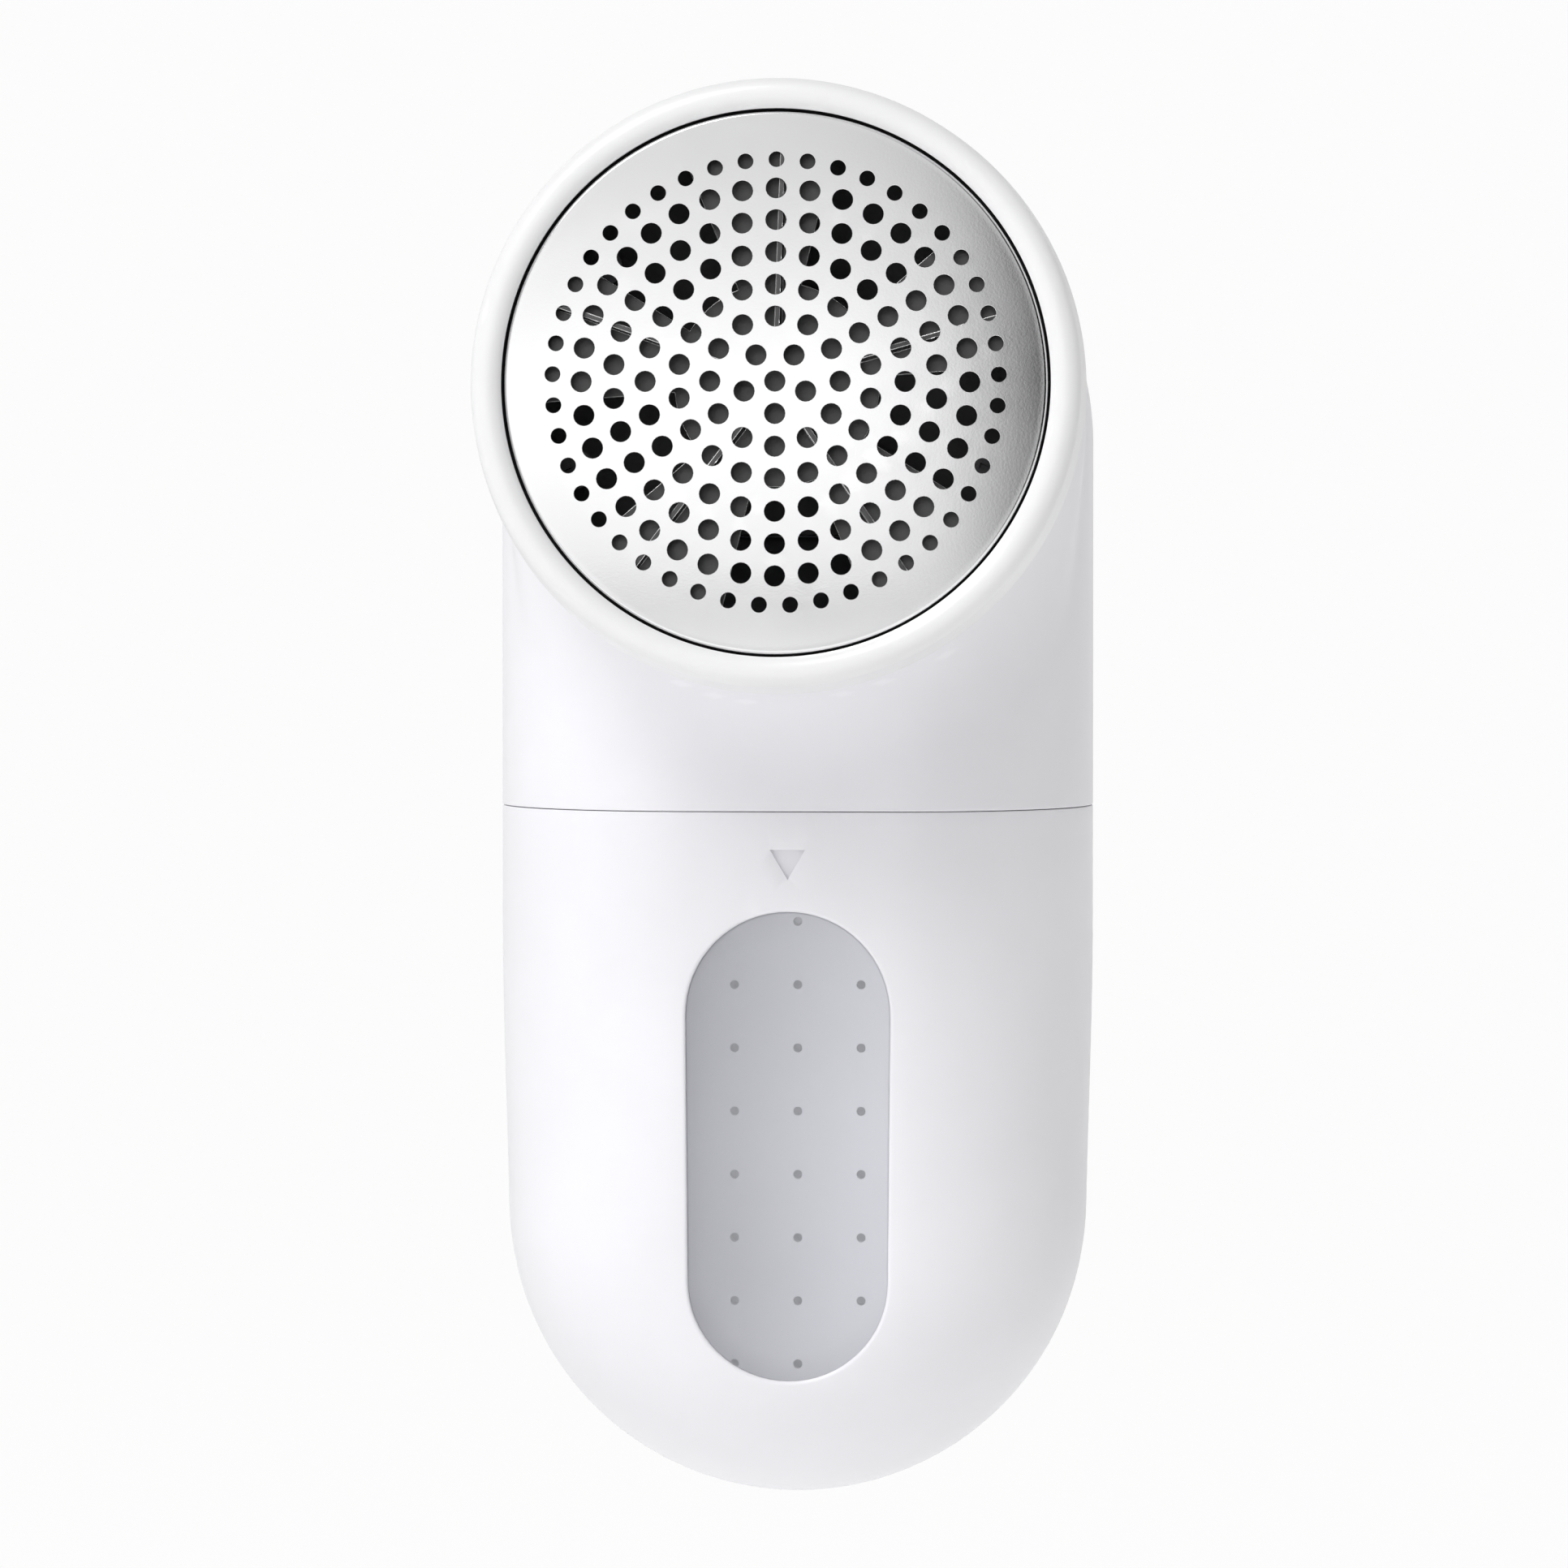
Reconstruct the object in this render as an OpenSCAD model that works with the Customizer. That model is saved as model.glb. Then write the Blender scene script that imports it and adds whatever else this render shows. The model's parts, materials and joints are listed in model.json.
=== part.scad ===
// Hand-held fabric shaver: a pill-shaped handle with a round shaving head on its upper front,
// a slide-off lint bin with a clear window below the head, and a floating five-leaf cutter.
// Units are millimetres. +Z is up along the handle, the front faces -Y, the right side is +X.

/* [Handle] */
// Width of the handle across its two sides
body_w = 58.4; // [54:0.2:64]
// Depth of the handle from front face to back face
body_d = 39; // [37:0.5:44]
// Height of the handle without the head ring
pill_h = 132.4; // [126:0.2:140]
// Thickness of the outer plastic walls
wall = 2; // [1.6:0.1:2.6]
// Height of the joint line between the lint bin and the upper body
seam_z = 67.9; // [62:0.5:72]
// Depth position of the joint between the front half and the rear half
split_y = 2; // [1:0.5:3]
// Gap left between outer pieces that meet
seam_gap = 0.2; // [0.1:0.05:0.4]

/* [Head] */
// Height at which the head axis crosses the middle of the handle
head_z = 105.9; // [100:0.1:110]
// Upward tilt of the head axis
head_tilt = 5; // [0:0.5:12]
// Outer radius of the head barrel at its front end
barrel_r = 27.6; // [25:0.1:30]
// Outer radius of the barrel where it leaves the handle
barrel_root_r = 25.9; // [24:0.1:28]
// Distance from the handle middle to the front end of the barrel
barrel_s = 31.5; // [28:0.5:36]
// Largest radius of the twist-off ring
ring_r = 29.4; // [28.6:0.1:31]
// Radius of the visible foil
foil_r = 26; // [22:0.1:27]
// Height of the foil's dome
foil_rise = 1.8; // [0.5:0.1:3]
// Thickness of the foil
foil_t = 0.3; // [0.2:0.05:0.5]
// Diameter of the inner foil holes
hole_d = 2; // [1.2:0.1:2.4]
// Diameter of the outermost row of foil holes
rim_hole_d = 1.5; // [1:0.1:2]

/* [Cutter and motor] */
// Number of leaves on the cutter
leaf_count = 5; // [3:1:6]
// Direction of the first leaf's cutting edge
leaf_start = 88.5; // [0:0.5:120]
// Radius swept by the leaves
leaf_r = 24.2; // [20:0.1:24.4]
// How far the cutter can float back against its spring
float_travel = 0.8; // [0.4:0.1:1]
// Diameter of the motor
motor_d = 24.4; // [20:0.1:25]
// Diameter of the motor shaft
shaft_d = 2; // [1.5:0.1:2.3]
// Play between the shaft and the motor bush, on the radius
shaft_play = 0.05; // [0.02:0.01:0.1]

/* [Lint bin] */
// Width of the clear window
window_w = 20; // [14:0.2:24]
// Height of the clear window
window_h = 45.6; // [30:0.2:46]
// Height of the window's middle
window_z = 35.2; // [33:0.2:37]
// Spacing of the vent dots in the back plate
vent_pitch = 6.25; // [5:0.05:8]
// Diameter of the vent dots
vent_d = 0.9; // [0.6:0.1:1.5]

/* [Power] */
// Diameter of the rechargeable cell
cell_d = 14; // [12:0.1:14]
// Length of the rechargeable cell
cell_l = 50; // [40:0.5:50]
// Height of the power button
button_z = 84; // [80:0.5:86]
// Diameter of the power button
button_d = 12; // [8:0.5:14]

/* [Hidden] */

$fn = 64;
eps = 0.02;                                // overlap that makes fused shapes share volume
cut = 1;                                   // how far a cutting shape runs past a face

// Handle
edge_r = body_d / 2;                       // radius of the rounded sides
outline_r = body_w / 2;                    // radius of the rounded ends seen from the front
flat_hw = outline_r - edge_r;              // half width of the flat front and back
arc_high = pill_h - outline_r;             // height of the upper end's centre
floor_t = 2;                               // floor of the front shell above the bin

// Head stack, as distances along the head axis from the handle middle
ring_back_s = barrel_s + seam_gap;
ring_wide_s = barrel_s + 4;                // where the ring is widest
ring_back_step = 0.7;                      // how much narrower its back edge is
bead_r = 1.55;                             // rounding of the ring's front edge
bead_c = ring_r - 0.3 - bead_r;            // radius at which the rounding is centred
bead_s = barrel_s + 9.25;
ring_in_r = 27;                            // bore of the ring behind its lip
lip_r = bead_c - bead_r + 0.3;
foil_edge_s = bead_s + 0.35;               // front of the foil at its rim
flange_s = bead_s - 1.05;                  // back of the foil's seat flange
flange_r = ring_in_r - 0.1;
lip_back_s = flange_s + 0.4;               // back of the ring's inward lip
blade_s = flange_s - 1.5;                  // back of the leaves
bracket_s = 22.6;                          // back of the motor bracket
bracket_t = 2.4;
chamber_s = bracket_s + bracket_t + 0.1;   // back of the cutter chamber's floor
chamber_t = 1.6;
chamber_r = 25.4;
seal_r = 5.8;                              // hole in the chamber's floor that holds the seal
bore_r = 25.6;                             // inside radius of the barrel
barrel_root_s = 4;
ledge_s = bracket_s - 2;                   // back of the ledge the bracket stands on
front_reach = bead_s * cos(head_tilt) + bead_c * sin(head_tilt) + bead_r;
seat_y = (front_reach - edge_r) / 2;       // puts the middle of the depth at y = 0

// Bayonet: the ring's tabs lock behind the chamber's lugs
lug_count = 3;
lug_angle = 20;
lug_s = 34;
lug_t = 1.4;
tab_s = 32.4;
tab_t = 1.4;
pin_angle = 90 - lug_angle / 2 + 0.5;      // beside the trailing edge of the upper tab
pin_r = 25.5;
pin_rod_r = 0.7;
pin_hole_r = 0.85;
pin_back_s = 17.5;

// Motor
motor_r = motor_d / 2;
motor_front = 22.5;
motor_len = 29;
motor_back = motor_front - motor_len;
endcap_t = 1.7;
motor_wall = 0.8;
armature_s = [-1, 14];
armature_r = 8.8;
winding_r = 6.6;                           // winding ends that stand out of the core
commutator_r = 3;
core_slots = 5;
magnet_r = 9.4;                            // inner radius of the magnets
magnet_angle = 130;
boss_r = 3;                                // bearing boss on the motor's face
boss_t = 1.5;
motor_screw_r = 8.5;
motor_head_s = bracket_s + 1.1;            // where the motor screws' heads sit
chamber_screw_r = 21.3;
chamber_screw_angles = [35, 145, 200, 340];

// Screws: thread radius, clearance radius and head radius
screw_r = 0.95;
screw_hole_r = 1.1;
head_r = 1.9;
head_t = 1.2;
frame_post_x = 21.5;
frame_post_z = [30, 62];
shell_post_z = 80;
post_r = 2.4;

// Cutter drive
coupler_s = 28.6;                          // back of the coupler flange
coupler_r = 3;
coupler_flat = 2.3;
coupler_flange_r = 5.5;
coupler_flange_t = 1;
shaft_front = coupler_s + 6;
hub_s = 33.6;                              // back of the hub's sleeve
hub_r = 9;
hub_t = 2;
sleeve_r = 5.4;
socket_s = blade_s - 0.5;                  // end of the socket in the hub
drive_play = 0.1;
coil_r = 4.2;
coil_wire_r = 0.35;
coil_turns = 5;

// Lint path: a duct of this half width leads from the chamber to the bin
duct_hw = 9;
duct_t = 1;
duct_fit = duct_t + 0.15;                  // wall of the duct with its clearance
duct_open = [-21.5, -13.5];                // span of the duct mouth below the head axis

// Bin
bin_top = seam_z - seam_gap;
bin_rear = split_y - seam_gap;
plate_t = 1.8;
vent_z = 12.4;                             // height of the lowest row of vent dots
arrow_w = 3.3;                             // engraved arrow that points the way the bin slides
arrow_h = 2.8;
arrow_z = 64;
arrow_depth = 0.35;
rail_x = 15;
rail_neck = 2.4;
rail_head = 5;
rail_z = [8, 62];
rail_play = 0.2;
latch_z = 59;
latch_dome = 2;

// Inner frame and electrics
frame_t = 1.2;
frame_rear = split_y + frame_t;
frame_r = outline_r - wall - 0.35;
frame_top = 92;
cell_r = cell_d / 2;
cell_y = edge_r - wall - cell_r - 0.15;
cell_z = 20;
pcb_y = 5;
pcb_t = 1.2;
pcb_z = [72, 93];
pcb_hw = 16;
pcb_rear = pcb_y + pcb_t;
led_z = 75;
usb_y = 9.05;
usb_w = 8.94;
usb_t = 3.26;
usb_z = [3.2, 10.6];
board_z = [8.8, 18.5];

// ---- shared shapes ---------------------------------------------------------------------

// Moves the handle frame so the whole object is centred in depth
module seat() { translate([0, seat_y, 0]) children(); }

// Head frame: local +Z runs forward along the head axis, local +Y runs up
module head() { translate([0, 0, head_z]) rotate([90 - head_tilt, 0, 0]) children(); }

module ring(r_in, r_out, s0, s1) {
    rotate_extrude() translate([r_in, s0]) square([r_out - r_in, s1 - s0]);
}

module rod(r, s0, s1) { translate([0, 0, s0]) cylinder(r = r, h = s1 - s0); }

// A cylinder along the depth of the handle, between two depths
module y_rod(r, x, z, y0, y1) {
    translate([x, y1, z]) rotate([90, 0, 0]) cylinder(r = r, h = y1 - y0);
}

module y_box(x0, x1, y0, y1, z0, z1) {
    translate([x0, y0, z0]) cube([x1 - x0, y1 - y0, z1 - z0]);
}

// Half section of the handle's rounded end, from the end's centre outward
module end_section(inset, y0, y1) {
    intersection() {
        union() {
            translate([0, inset - edge_r]) square([flat_hw, body_d - 2 * inset]);
            translate([flat_hw, 0]) circle(r = edge_r - inset);
        }
        translate([0, y0]) square([body_w, y1 - y0]);
    }
}

module full_section(inset, y0, y1) {
    intersection() {
        union() {
            square([2 * flat_hw, body_d - 2 * inset], center = true);
            for (side = [-1, 1]) translate([side * flat_hw, 0]) circle(r = edge_r - inset);
        }
        translate([-body_w, y0]) square([2 * body_w, y1 - y0]);
    }
}

module low_end(inset, y0, y1) {
    translate([0, 0, outline_r]) rotate([-90, 0, 0])
        rotate_extrude(angle = 180) end_section(inset, y0, y1);
}

module high_end(inset, y0, y1) {
    translate([0, 0, arc_high]) rotate([-90, 0, 0])
        rotate_extrude(angle = -180) end_section(inset, y0, y1);
}

module straight(inset, y0, y1, z0, z1) {
    translate([0, 0, z0]) linear_extrude(z1 - z0) full_section(inset, y0, y1);
}

// Upright stadium prism along the depth, such as the window
module stadium(w, h, z, y0, y1) {
    for (end = [-1, 1]) y_rod(w / 2, 0, z + end * (h - w) / 2, y0, y1);
    y_box(-w / 2, w / 2, y0, y1, z - (h - w) / 2, z + (h - w) / 2);
}

// A straight run of wire between two points, run on a little so that bends close
module wire_run(a, b, r) {
    d = b - a;
    reach = norm(d);
    translate(a) rotate([0, acos(d[2] / reach), atan2(d[1], d[0])])
        translate([0, 0, -r / 2]) cylinder(r = r, h = reach + r);
}

module wire(points, r) {
    for (i = [0 : len(points) - 2]) wire_run(points[i], points[i + 1], r * (1 - 0.08 * (i % 2)));
}

function dome_s(r) = foil_edge_s + foil_rise * (1 - pow(r / foil_r, 2));

// ---- twist-off head ring ---------------------------------------------------------------

module foil_ring() {
    color("white") head() {
        rotate_extrude() {
            polygon([
                [ring_in_r, ring_back_s], [ring_r - ring_back_step, ring_back_s],
                [ring_r, ring_wide_s], [bead_c + bead_r, bead_s], [bead_c, bead_s],
                [lip_r, bead_s + bead_r * 0.45], [lip_r, lip_back_s], [ring_in_r, lip_back_s]
            ]);
            intersection() {
                translate([bead_c, bead_s]) circle(r = bead_r);
                translate([lip_r, bead_s]) square([ring_r - lip_r, bead_r + cut]);
            }
        }
        for (i = [0 : lug_count - 1])
            rotate([0, 0, 90 + i * 360 / lug_count - lug_angle / 2])
                rotate_extrude(angle = lug_angle)
                    translate([chamber_r + 0.2, tab_s])
                        square([ring_in_r - chamber_r, tab_t]);
    }
}

foil_rows = [
    [3.08, 5, 36, hole_d], [6.2, 12, 0, hole_d], [9.25, 18, 0, hole_d],
    [12.37, 24, 0, hole_d], [15.45, 30, 0, hole_d], [18.5, 36, 0, hole_d],
    [21.27, 45, 0, rim_hole_d]
];                                         // radius, count, angle from up, diameter
foil_steps = 6;

module foil_skin() {
    rotate_extrude() polygon(concat(
        [for (i = [0 : foil_steps]) [foil_r * i / foil_steps, dome_s(foil_r * i / foil_steps)]],
        [[foil_r, flange_s + foil_t], [flange_r, flange_s + foil_t], [flange_r, flange_s],
         [foil_r - foil_t, flange_s]],
        [for (i = [foil_steps : -1 : 0])
            let (r = (foil_r - foil_t) * i / foil_steps) [r, dome_s(r) - foil_t]]
    ));
}

module cutting_foil() {
    color("silver") head() difference() {
        foil_skin();
        translate([0, 0, flange_s]) cylinder(d = hole_d, h = foil_rise + 3);
        for (row = foil_rows, i = [0 : row[1] - 1])
            rotate([0, 0, 90 + row[2] + i * 360 / row[1]])
                translate([row[0], 0, flange_s + cut / 2])
                    cylinder(d = row[3], h = foil_rise + 3, $fn = 24);
    }
}

module foil_retainer() {
    color("gainsboro") head() ring(leaf_r + 0.5, flange_r - 0.1, flange_s - 2.3, flange_s - 0.05);
}

// ---- cutter ----------------------------------------------------------------------------

leaf_t = 0.5;
petal_lead = 12;                           // angle of sheet in front of the cutting edge
petal_width = 36;
leaf_root_r = 5;
leaf_disc_r = 9.8;                         // middle disc that joins the leaves
foil_gap = 0.2;                            // between the leaves' edges and the foil

module cutter_leaf() {
    rotate([90, 0, 0]) translate([0, 0, -leaf_t / 2]) linear_extrude(leaf_t) polygon(concat(
        [[leaf_root_r, blade_s], [leaf_r, blade_s]],
        [for (i = [3 : -1 : 0]) let (r = leaf_root_r + i * (leaf_r - leaf_root_r) / 3)
            [r, dome_s(r) - foil_t - foil_gap]]
    ));
    rotate([0, 0, -petal_lead]) rotate_extrude(angle = petal_width)
        translate([leaf_root_r, blade_s]) square([leaf_r - leaf_root_r - 0.6, leaf_t]);
}

module cutter_blades() {
    color("slategray") head() {
        for (i = [0 : leaf_count - 1])
            rotate([0, 0, leaf_start + i * 360 / leaf_count]) cutter_leaf();
        rod(leaf_disc_r, blade_s, blade_s + leaf_t);
    }
}

// Round section with two flats, for the sliding drive
module double_d(r, flat, s0, s1) {
    intersection() {
        rod(r, s0, s1);
        translate([-r - cut, -flat, s0]) cube([2 * (r + cut), 2 * flat, s1 - s0]);
    }
}

module blade_hub() {
    color("dimgray") head() difference() {
        union() {
            rod(hub_r, blade_s - hub_t, blade_s);
            rod(sleeve_r, hub_s, blade_s - hub_t + eps);
        }
        double_d(coupler_r + drive_play, coupler_flat + drive_play, hub_s - cut, socket_s);
    }
}

module blade_spring() {
    room = hub_s - coupler_s - coupler_flange_t - 2 * coil_wire_r - 0.1;
    pitch = room / (coil_turns - 1);
    first = coupler_s + coupler_flange_t + coil_wire_r + 0.05;
    color("lightgray") head() {
        for (i = [0 : coil_turns - 1])
            translate([0, 0, first + i * pitch]) rotate_extrude()
                translate([coil_r, 0]) circle(r = coil_wire_r, $fn = 16);
        for (i = [0 : coil_turns - 2])
            rotate([0, 0, 180 * (i % 2)])
                translate([coil_r - 0.2, -0.2, first + i * pitch]) cube([0.4, 0.4, pitch]);
    }
}

module drive_coupler() {
    color("white") head() difference() {
        union() {
            rod(coupler_flange_r, coupler_s, coupler_s + coupler_flange_t);
            double_d(coupler_r, coupler_flat, coupler_s, socket_s - 0.1 - float_travel);
        }
        rod(shaft_d / 2, coupler_s - cut, shaft_front);
    }
}

// ---- motor -----------------------------------------------------------------------------

module motor_shaft() {
    color("silver") head() rod(shaft_d / 2, motor_back - 0.8, shaft_front);
}

module motor_armature() {
    color("sienna") head() difference() {
        union() {
            rod(armature_r, armature_s[0], armature_s[1]);
            rod(winding_r, armature_s[0] - 2, armature_s[1] + 2);
            rod(commutator_r, motor_back + 0.6, armature_s[0]);
        }
        rod(shaft_d / 2, motor_back, armature_s[1] + 3);
        for (i = [0 : core_slots - 1]) rotate([0, 0, i * 360 / core_slots])
            translate([winding_r + 0.2, -0.8, armature_s[0] - cut])
                cube([3, 1.6, armature_s[1] - armature_s[0] + 2 * cut]);
    }
}

module motor_magnets() {
    color("dimgray") head() for (side = [0, 180])
        rotate([0, 0, side - magnet_angle / 2]) rotate_extrude(angle = magnet_angle)
            translate([magnet_r, armature_s[0]])
                square([motor_r - motor_wall - magnet_r, armature_s[1] - armature_s[0]]);
}

module motor_can() {
    color("gainsboro") head() difference() {
        union() {
            rotate_extrude() polygon([
                [0, motor_back], [motor_r, motor_back], [motor_r, motor_front - 1],
                [motor_r - 1, motor_front], [0, motor_front]
            ]);
            rod(boss_r, motor_front - eps, motor_front + boss_t);
        }
        rod(motor_r - motor_wall, motor_back - cut, motor_front - 1.2);
        rod(shaft_d / 2 + shaft_play, motor_back, motor_front + boss_t + cut);
        for (side = [-1, 1]) translate([side * motor_screw_r, 0, 0])
            rod(screw_r, motor_front - 3.5, motor_front + cut);
    }
}

module motor_endcap() {
    color("dimgray") head() difference() {
        rotate_extrude() polygon([
            [0, motor_back - endcap_t], [motor_r - 1.2, motor_back - endcap_t],
            [motor_r - 0.6, motor_back - endcap_t + 0.6], [motor_r - 0.6, motor_back],
            [0, motor_back]
        ]);
        rod(shaft_d / 2 + shaft_play, motor_back - 1, motor_back + cut);
    }
}

module motor_terminals() {
    color("goldenrod") head() for (side = [-1, 1])
        translate([side * 6 - 1, -0.25, motor_back - endcap_t - 2.5]) cube([2, 0.5, 2.5]);
}

// Opening for the lint, shared by the chamber, the bracket and the shell's ledge
module duct_mouth(grow, s0, s1) {
    translate([-duct_hw - grow, duct_open[0] - grow, s0])
        cube([2 * (duct_hw + grow), duct_open[1] - duct_open[0] + 2 * grow, s1 - s0]);
}

module at_chamber_screws() {
    for (a = chamber_screw_angles) rotate([0, 0, a]) translate([chamber_screw_r, 0, 0]) children();
}

module at_pin() { rotate([0, 0, pin_angle]) translate([pin_r, 0, 0]) children(); }

module motor_bracket() {
    color("silver") head() difference() {
        rod(chamber_r, bracket_s, bracket_s + bracket_t);
        rod(boss_r + 0.1, bracket_s - cut, bracket_s + bracket_t + cut);
        for (side = [-1, 1]) translate([side * motor_screw_r, 0, 0]) {
            rod(screw_hole_r, bracket_s - cut, bracket_s + bracket_t);
            rod(head_r + 0.2, motor_head_s, bracket_s + bracket_t + cut);
        }
        at_chamber_screws() rod(screw_hole_r, bracket_s - cut, bracket_s + bracket_t + cut);
        at_pin() rod(pin_hole_r, bracket_s - cut, bracket_s + bracket_t + cut);
        duct_mouth(0, bracket_s - cut, bracket_s + bracket_t + cut);
    }
}

// A pan-head screw pointing back along the head axis, its head sitting at s
module head_screw(s, depth) {
    rod(screw_r, s - depth, s + eps);
    difference() {
        rod(head_r, s, s + head_t);
        for (turn = [0, 90]) rotate([0, 0, turn])
            translate([-head_r * 0.6, -0.25, s + head_t - 0.6]) cube([head_r * 1.2, 0.5, cut]);
    }
}

module motor_screws() {
    color("silver") head() for (side = [-1, 1])
        translate([side * motor_screw_r, 0, 0]) head_screw(motor_head_s, 4.2);
}

// ---- cutter chamber and lint duct --------------------------------------------------------

module cutter_chamber() {
    color("whitesmoke") head() difference() {
        union() {
            rod(chamber_r, chamber_s, chamber_s + chamber_t);
            ring(chamber_r - 1.5, chamber_r, chamber_s, barrel_s + 4.9);
            for (i = [0 : lug_count - 1])
                rotate([0, 0, 90 + i * 360 / lug_count - lug_angle / 2])
                    rotate_extrude(angle = lug_angle)
                        translate([chamber_r - 0.5, lug_s]) square([1.9, lug_t]);
        }
        rod(seal_r, chamber_s - cut, chamber_s + chamber_t + cut);
        at_chamber_screws() rod(screw_hole_r, chamber_s - cut, chamber_s + chamber_t + cut);
        at_pin() rod(pin_hole_r, chamber_s - cut, lug_s - 0.1);
        duct_mouth(0, chamber_s - cut, chamber_s + chamber_t + cut);
    }
}

module chamber_screws() {
    color("silver") head() at_chamber_screws() head_screw(chamber_s + chamber_t, 8);
}

module shaft_seal() {
    color("dimgray") head()
        ring(shaft_d / 2 + 0.1, seal_r, chamber_s, chamber_s + chamber_t + 0.5);
}

// Point of the duct's side view given in the head frame, turned into handle depth and height
function head_yz(ly, s) = [ly * sin(head_tilt) - s * cos(head_tilt),
                           head_z + s * sin(head_tilt) + ly * cos(head_tilt)];

duct_back = -3;
duct_front = -15.6;
// Side view of the duct's passage, grown by an amount and run on past both mouths
function duct_profile(grow, past) = concat(
    [head_yz(duct_open[0] - grow, bracket_s + past),
     head_yz(duct_open[1] + grow, bracket_s + past)],
    past > 0 ? [head_yz(duct_open[1] + grow, bracket_s)] : [],
    [[0.5 * grow - 10, 92.9 + grow], [duct_back + grow, 82 + 0.3 * grow],
     [duct_back + grow, seam_z - past], [duct_front - grow, seam_z - past],
     [duct_front - grow, 85.1 - 0.8 * grow]],
    past > 0 ? [head_yz(duct_open[0] - grow, bracket_s)] : []
);

module duct_side(points, hw) {
    translate([-hw, 0, 0]) rotate([90, 0, 90]) linear_extrude(2 * hw) polygon(points);
}

module lint_duct() {
    color("whitesmoke") difference() {
        duct_side(duct_profile(duct_t, 0), duct_hw + duct_t);
        duct_side(duct_profile(0, cut), duct_hw);
    }
}

// ---- safety interlock ----------------------------------------------------------------------

module interlock_pin() {
    color("white") head() at_pin() {
        rod(pin_rod_r, pin_back_s + 0.5, tab_s - 0.12);
        translate([-4, -0.8, pin_back_s]) cube([4 + pin_rod_r, 1.6, 1.2]);
    }
}

module interlock_switch() {
    color("dimgray") head() rotate([0, 0, pin_angle]) {
        translate([17.4, -4, 12]) cube([5.9, 8, 4.8]);
        translate([22.3, 0, 0]) rod(0.8, 16, 17.4);
    }
}

// ---- shells --------------------------------------------------------------------------------

module front_outer() {
    straight(0, -edge_r, split_y, seam_z, arc_high);
    high_end(0, -edge_r, split_y);
    head() translate([0, 0, barrel_root_s])
        cylinder(r1 = barrel_root_r, r2 = barrel_r, h = barrel_s - barrel_root_s);
}

module front_inner() {
    straight(wall, wall - edge_r, split_y + cut, seam_z + floor_t, arc_high);
    high_end(wall, wall - edge_r, split_y + cut);
    head() {
        rod(bore_r, ledge_s, barrel_s + cut);
        rod(barrel_root_r - wall + 0.15, barrel_root_s + 0.5, ledge_s + cut);
    }
}

module front_shell() {
    color("white") {
        difference() {
            front_outer();
            front_inner();
            duct_side(duct_profile(duct_fit, cut), duct_hw + duct_fit);
            head() rotate([0, 0, pin_angle]) translate([bore_r - 2.1, -1, 14])
                cube([2.9, 2, barrel_s]);
        }
        for (side = [-1, 1]) difference() {
            y_rod(post_r, side * frame_post_x, shell_post_z, -12.4, split_y);
            y_rod(screw_r, side * frame_post_x, shell_post_z, -7, split_y + cut);
        }
        head() difference() {
            union() {
                ring(19, bore_r + 0.4, ledge_s + 0.3, bracket_s - 0.05);
                at_chamber_screws() rod(post_r, bracket_s - 6, ledge_s + 1);
            }
            at_chamber_screws() rod(screw_r, bracket_s - 7, bracket_s + cut);
            translate([-duct_hw - duct_fit, -30, bracket_s - 8])
                cube([2 * (duct_hw + duct_fit), 30 + duct_open[1] + duct_fit, 9]);
            rotate([0, 0, pin_angle]) translate([pin_r - 1, -1, bracket_s - 8]) cube([3, 2, 10]);
        }
        head() rotate([0, 0, pin_angle]) translate([18.2, -4.2, 10.5]) cube([7.1, 8.4, 1.45]);
    }
}

module rear_shell() {
    color("white") {
        difference() {
            union() {
                low_end(0, split_y, edge_r);
                straight(0, split_y, edge_r, outline_r, arc_high);
                high_end(0, split_y, edge_r);
            }
            low_end(wall, split_y - cut, edge_r - wall);
            straight(wall, split_y - cut, edge_r - wall, outline_r, arc_high);
            high_end(wall, split_y - cut, edge_r - wall);
            for (side = [-1, 1])
                y_box(side * rail_x - rail_head / 2 - 0.3, side * rail_x + rail_head / 2 + 0.3,
                      split_y - cut, frame_rear + 1.5, -cut, rail_z[0] + 6);
            y_rod(button_d / 2 + 0.1, 0, button_z, edge_r - wall - cut, edge_r + cut);
            y_rod(1.25, 0, led_z, edge_r - wall - cut, edge_r + cut);
            usb_slot(0.12, -cut, usb_z[1]);
        }
        for (side = [-1, 1], z = frame_post_z) difference() {
            y_rod(post_r, side * frame_post_x, z, frame_rear + 1.4, 12.4);
            y_rod(screw_r, side * frame_post_x, z, frame_rear + 1, 11.5);
        }
        for (z = [28, 60]) difference() {
            y_box(-10.5, 10.5, 7, edge_r - wall + 0.5, z, z + 1.6);
            translate([0, cell_y, z - cut]) cylinder(r = cell_r + 0.1, h = 4);
        }
        for (side = [-1, 1])
            y_box(side * 6.5 - 1, side * 6.5 + 1, 11.75, 16.2, 12, 14.5);
        y_box(-6, 6, -1.5, 6, 127.6, 129.4);
    }
}

// ---- inner frame and its screws ------------------------------------------------------------

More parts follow.
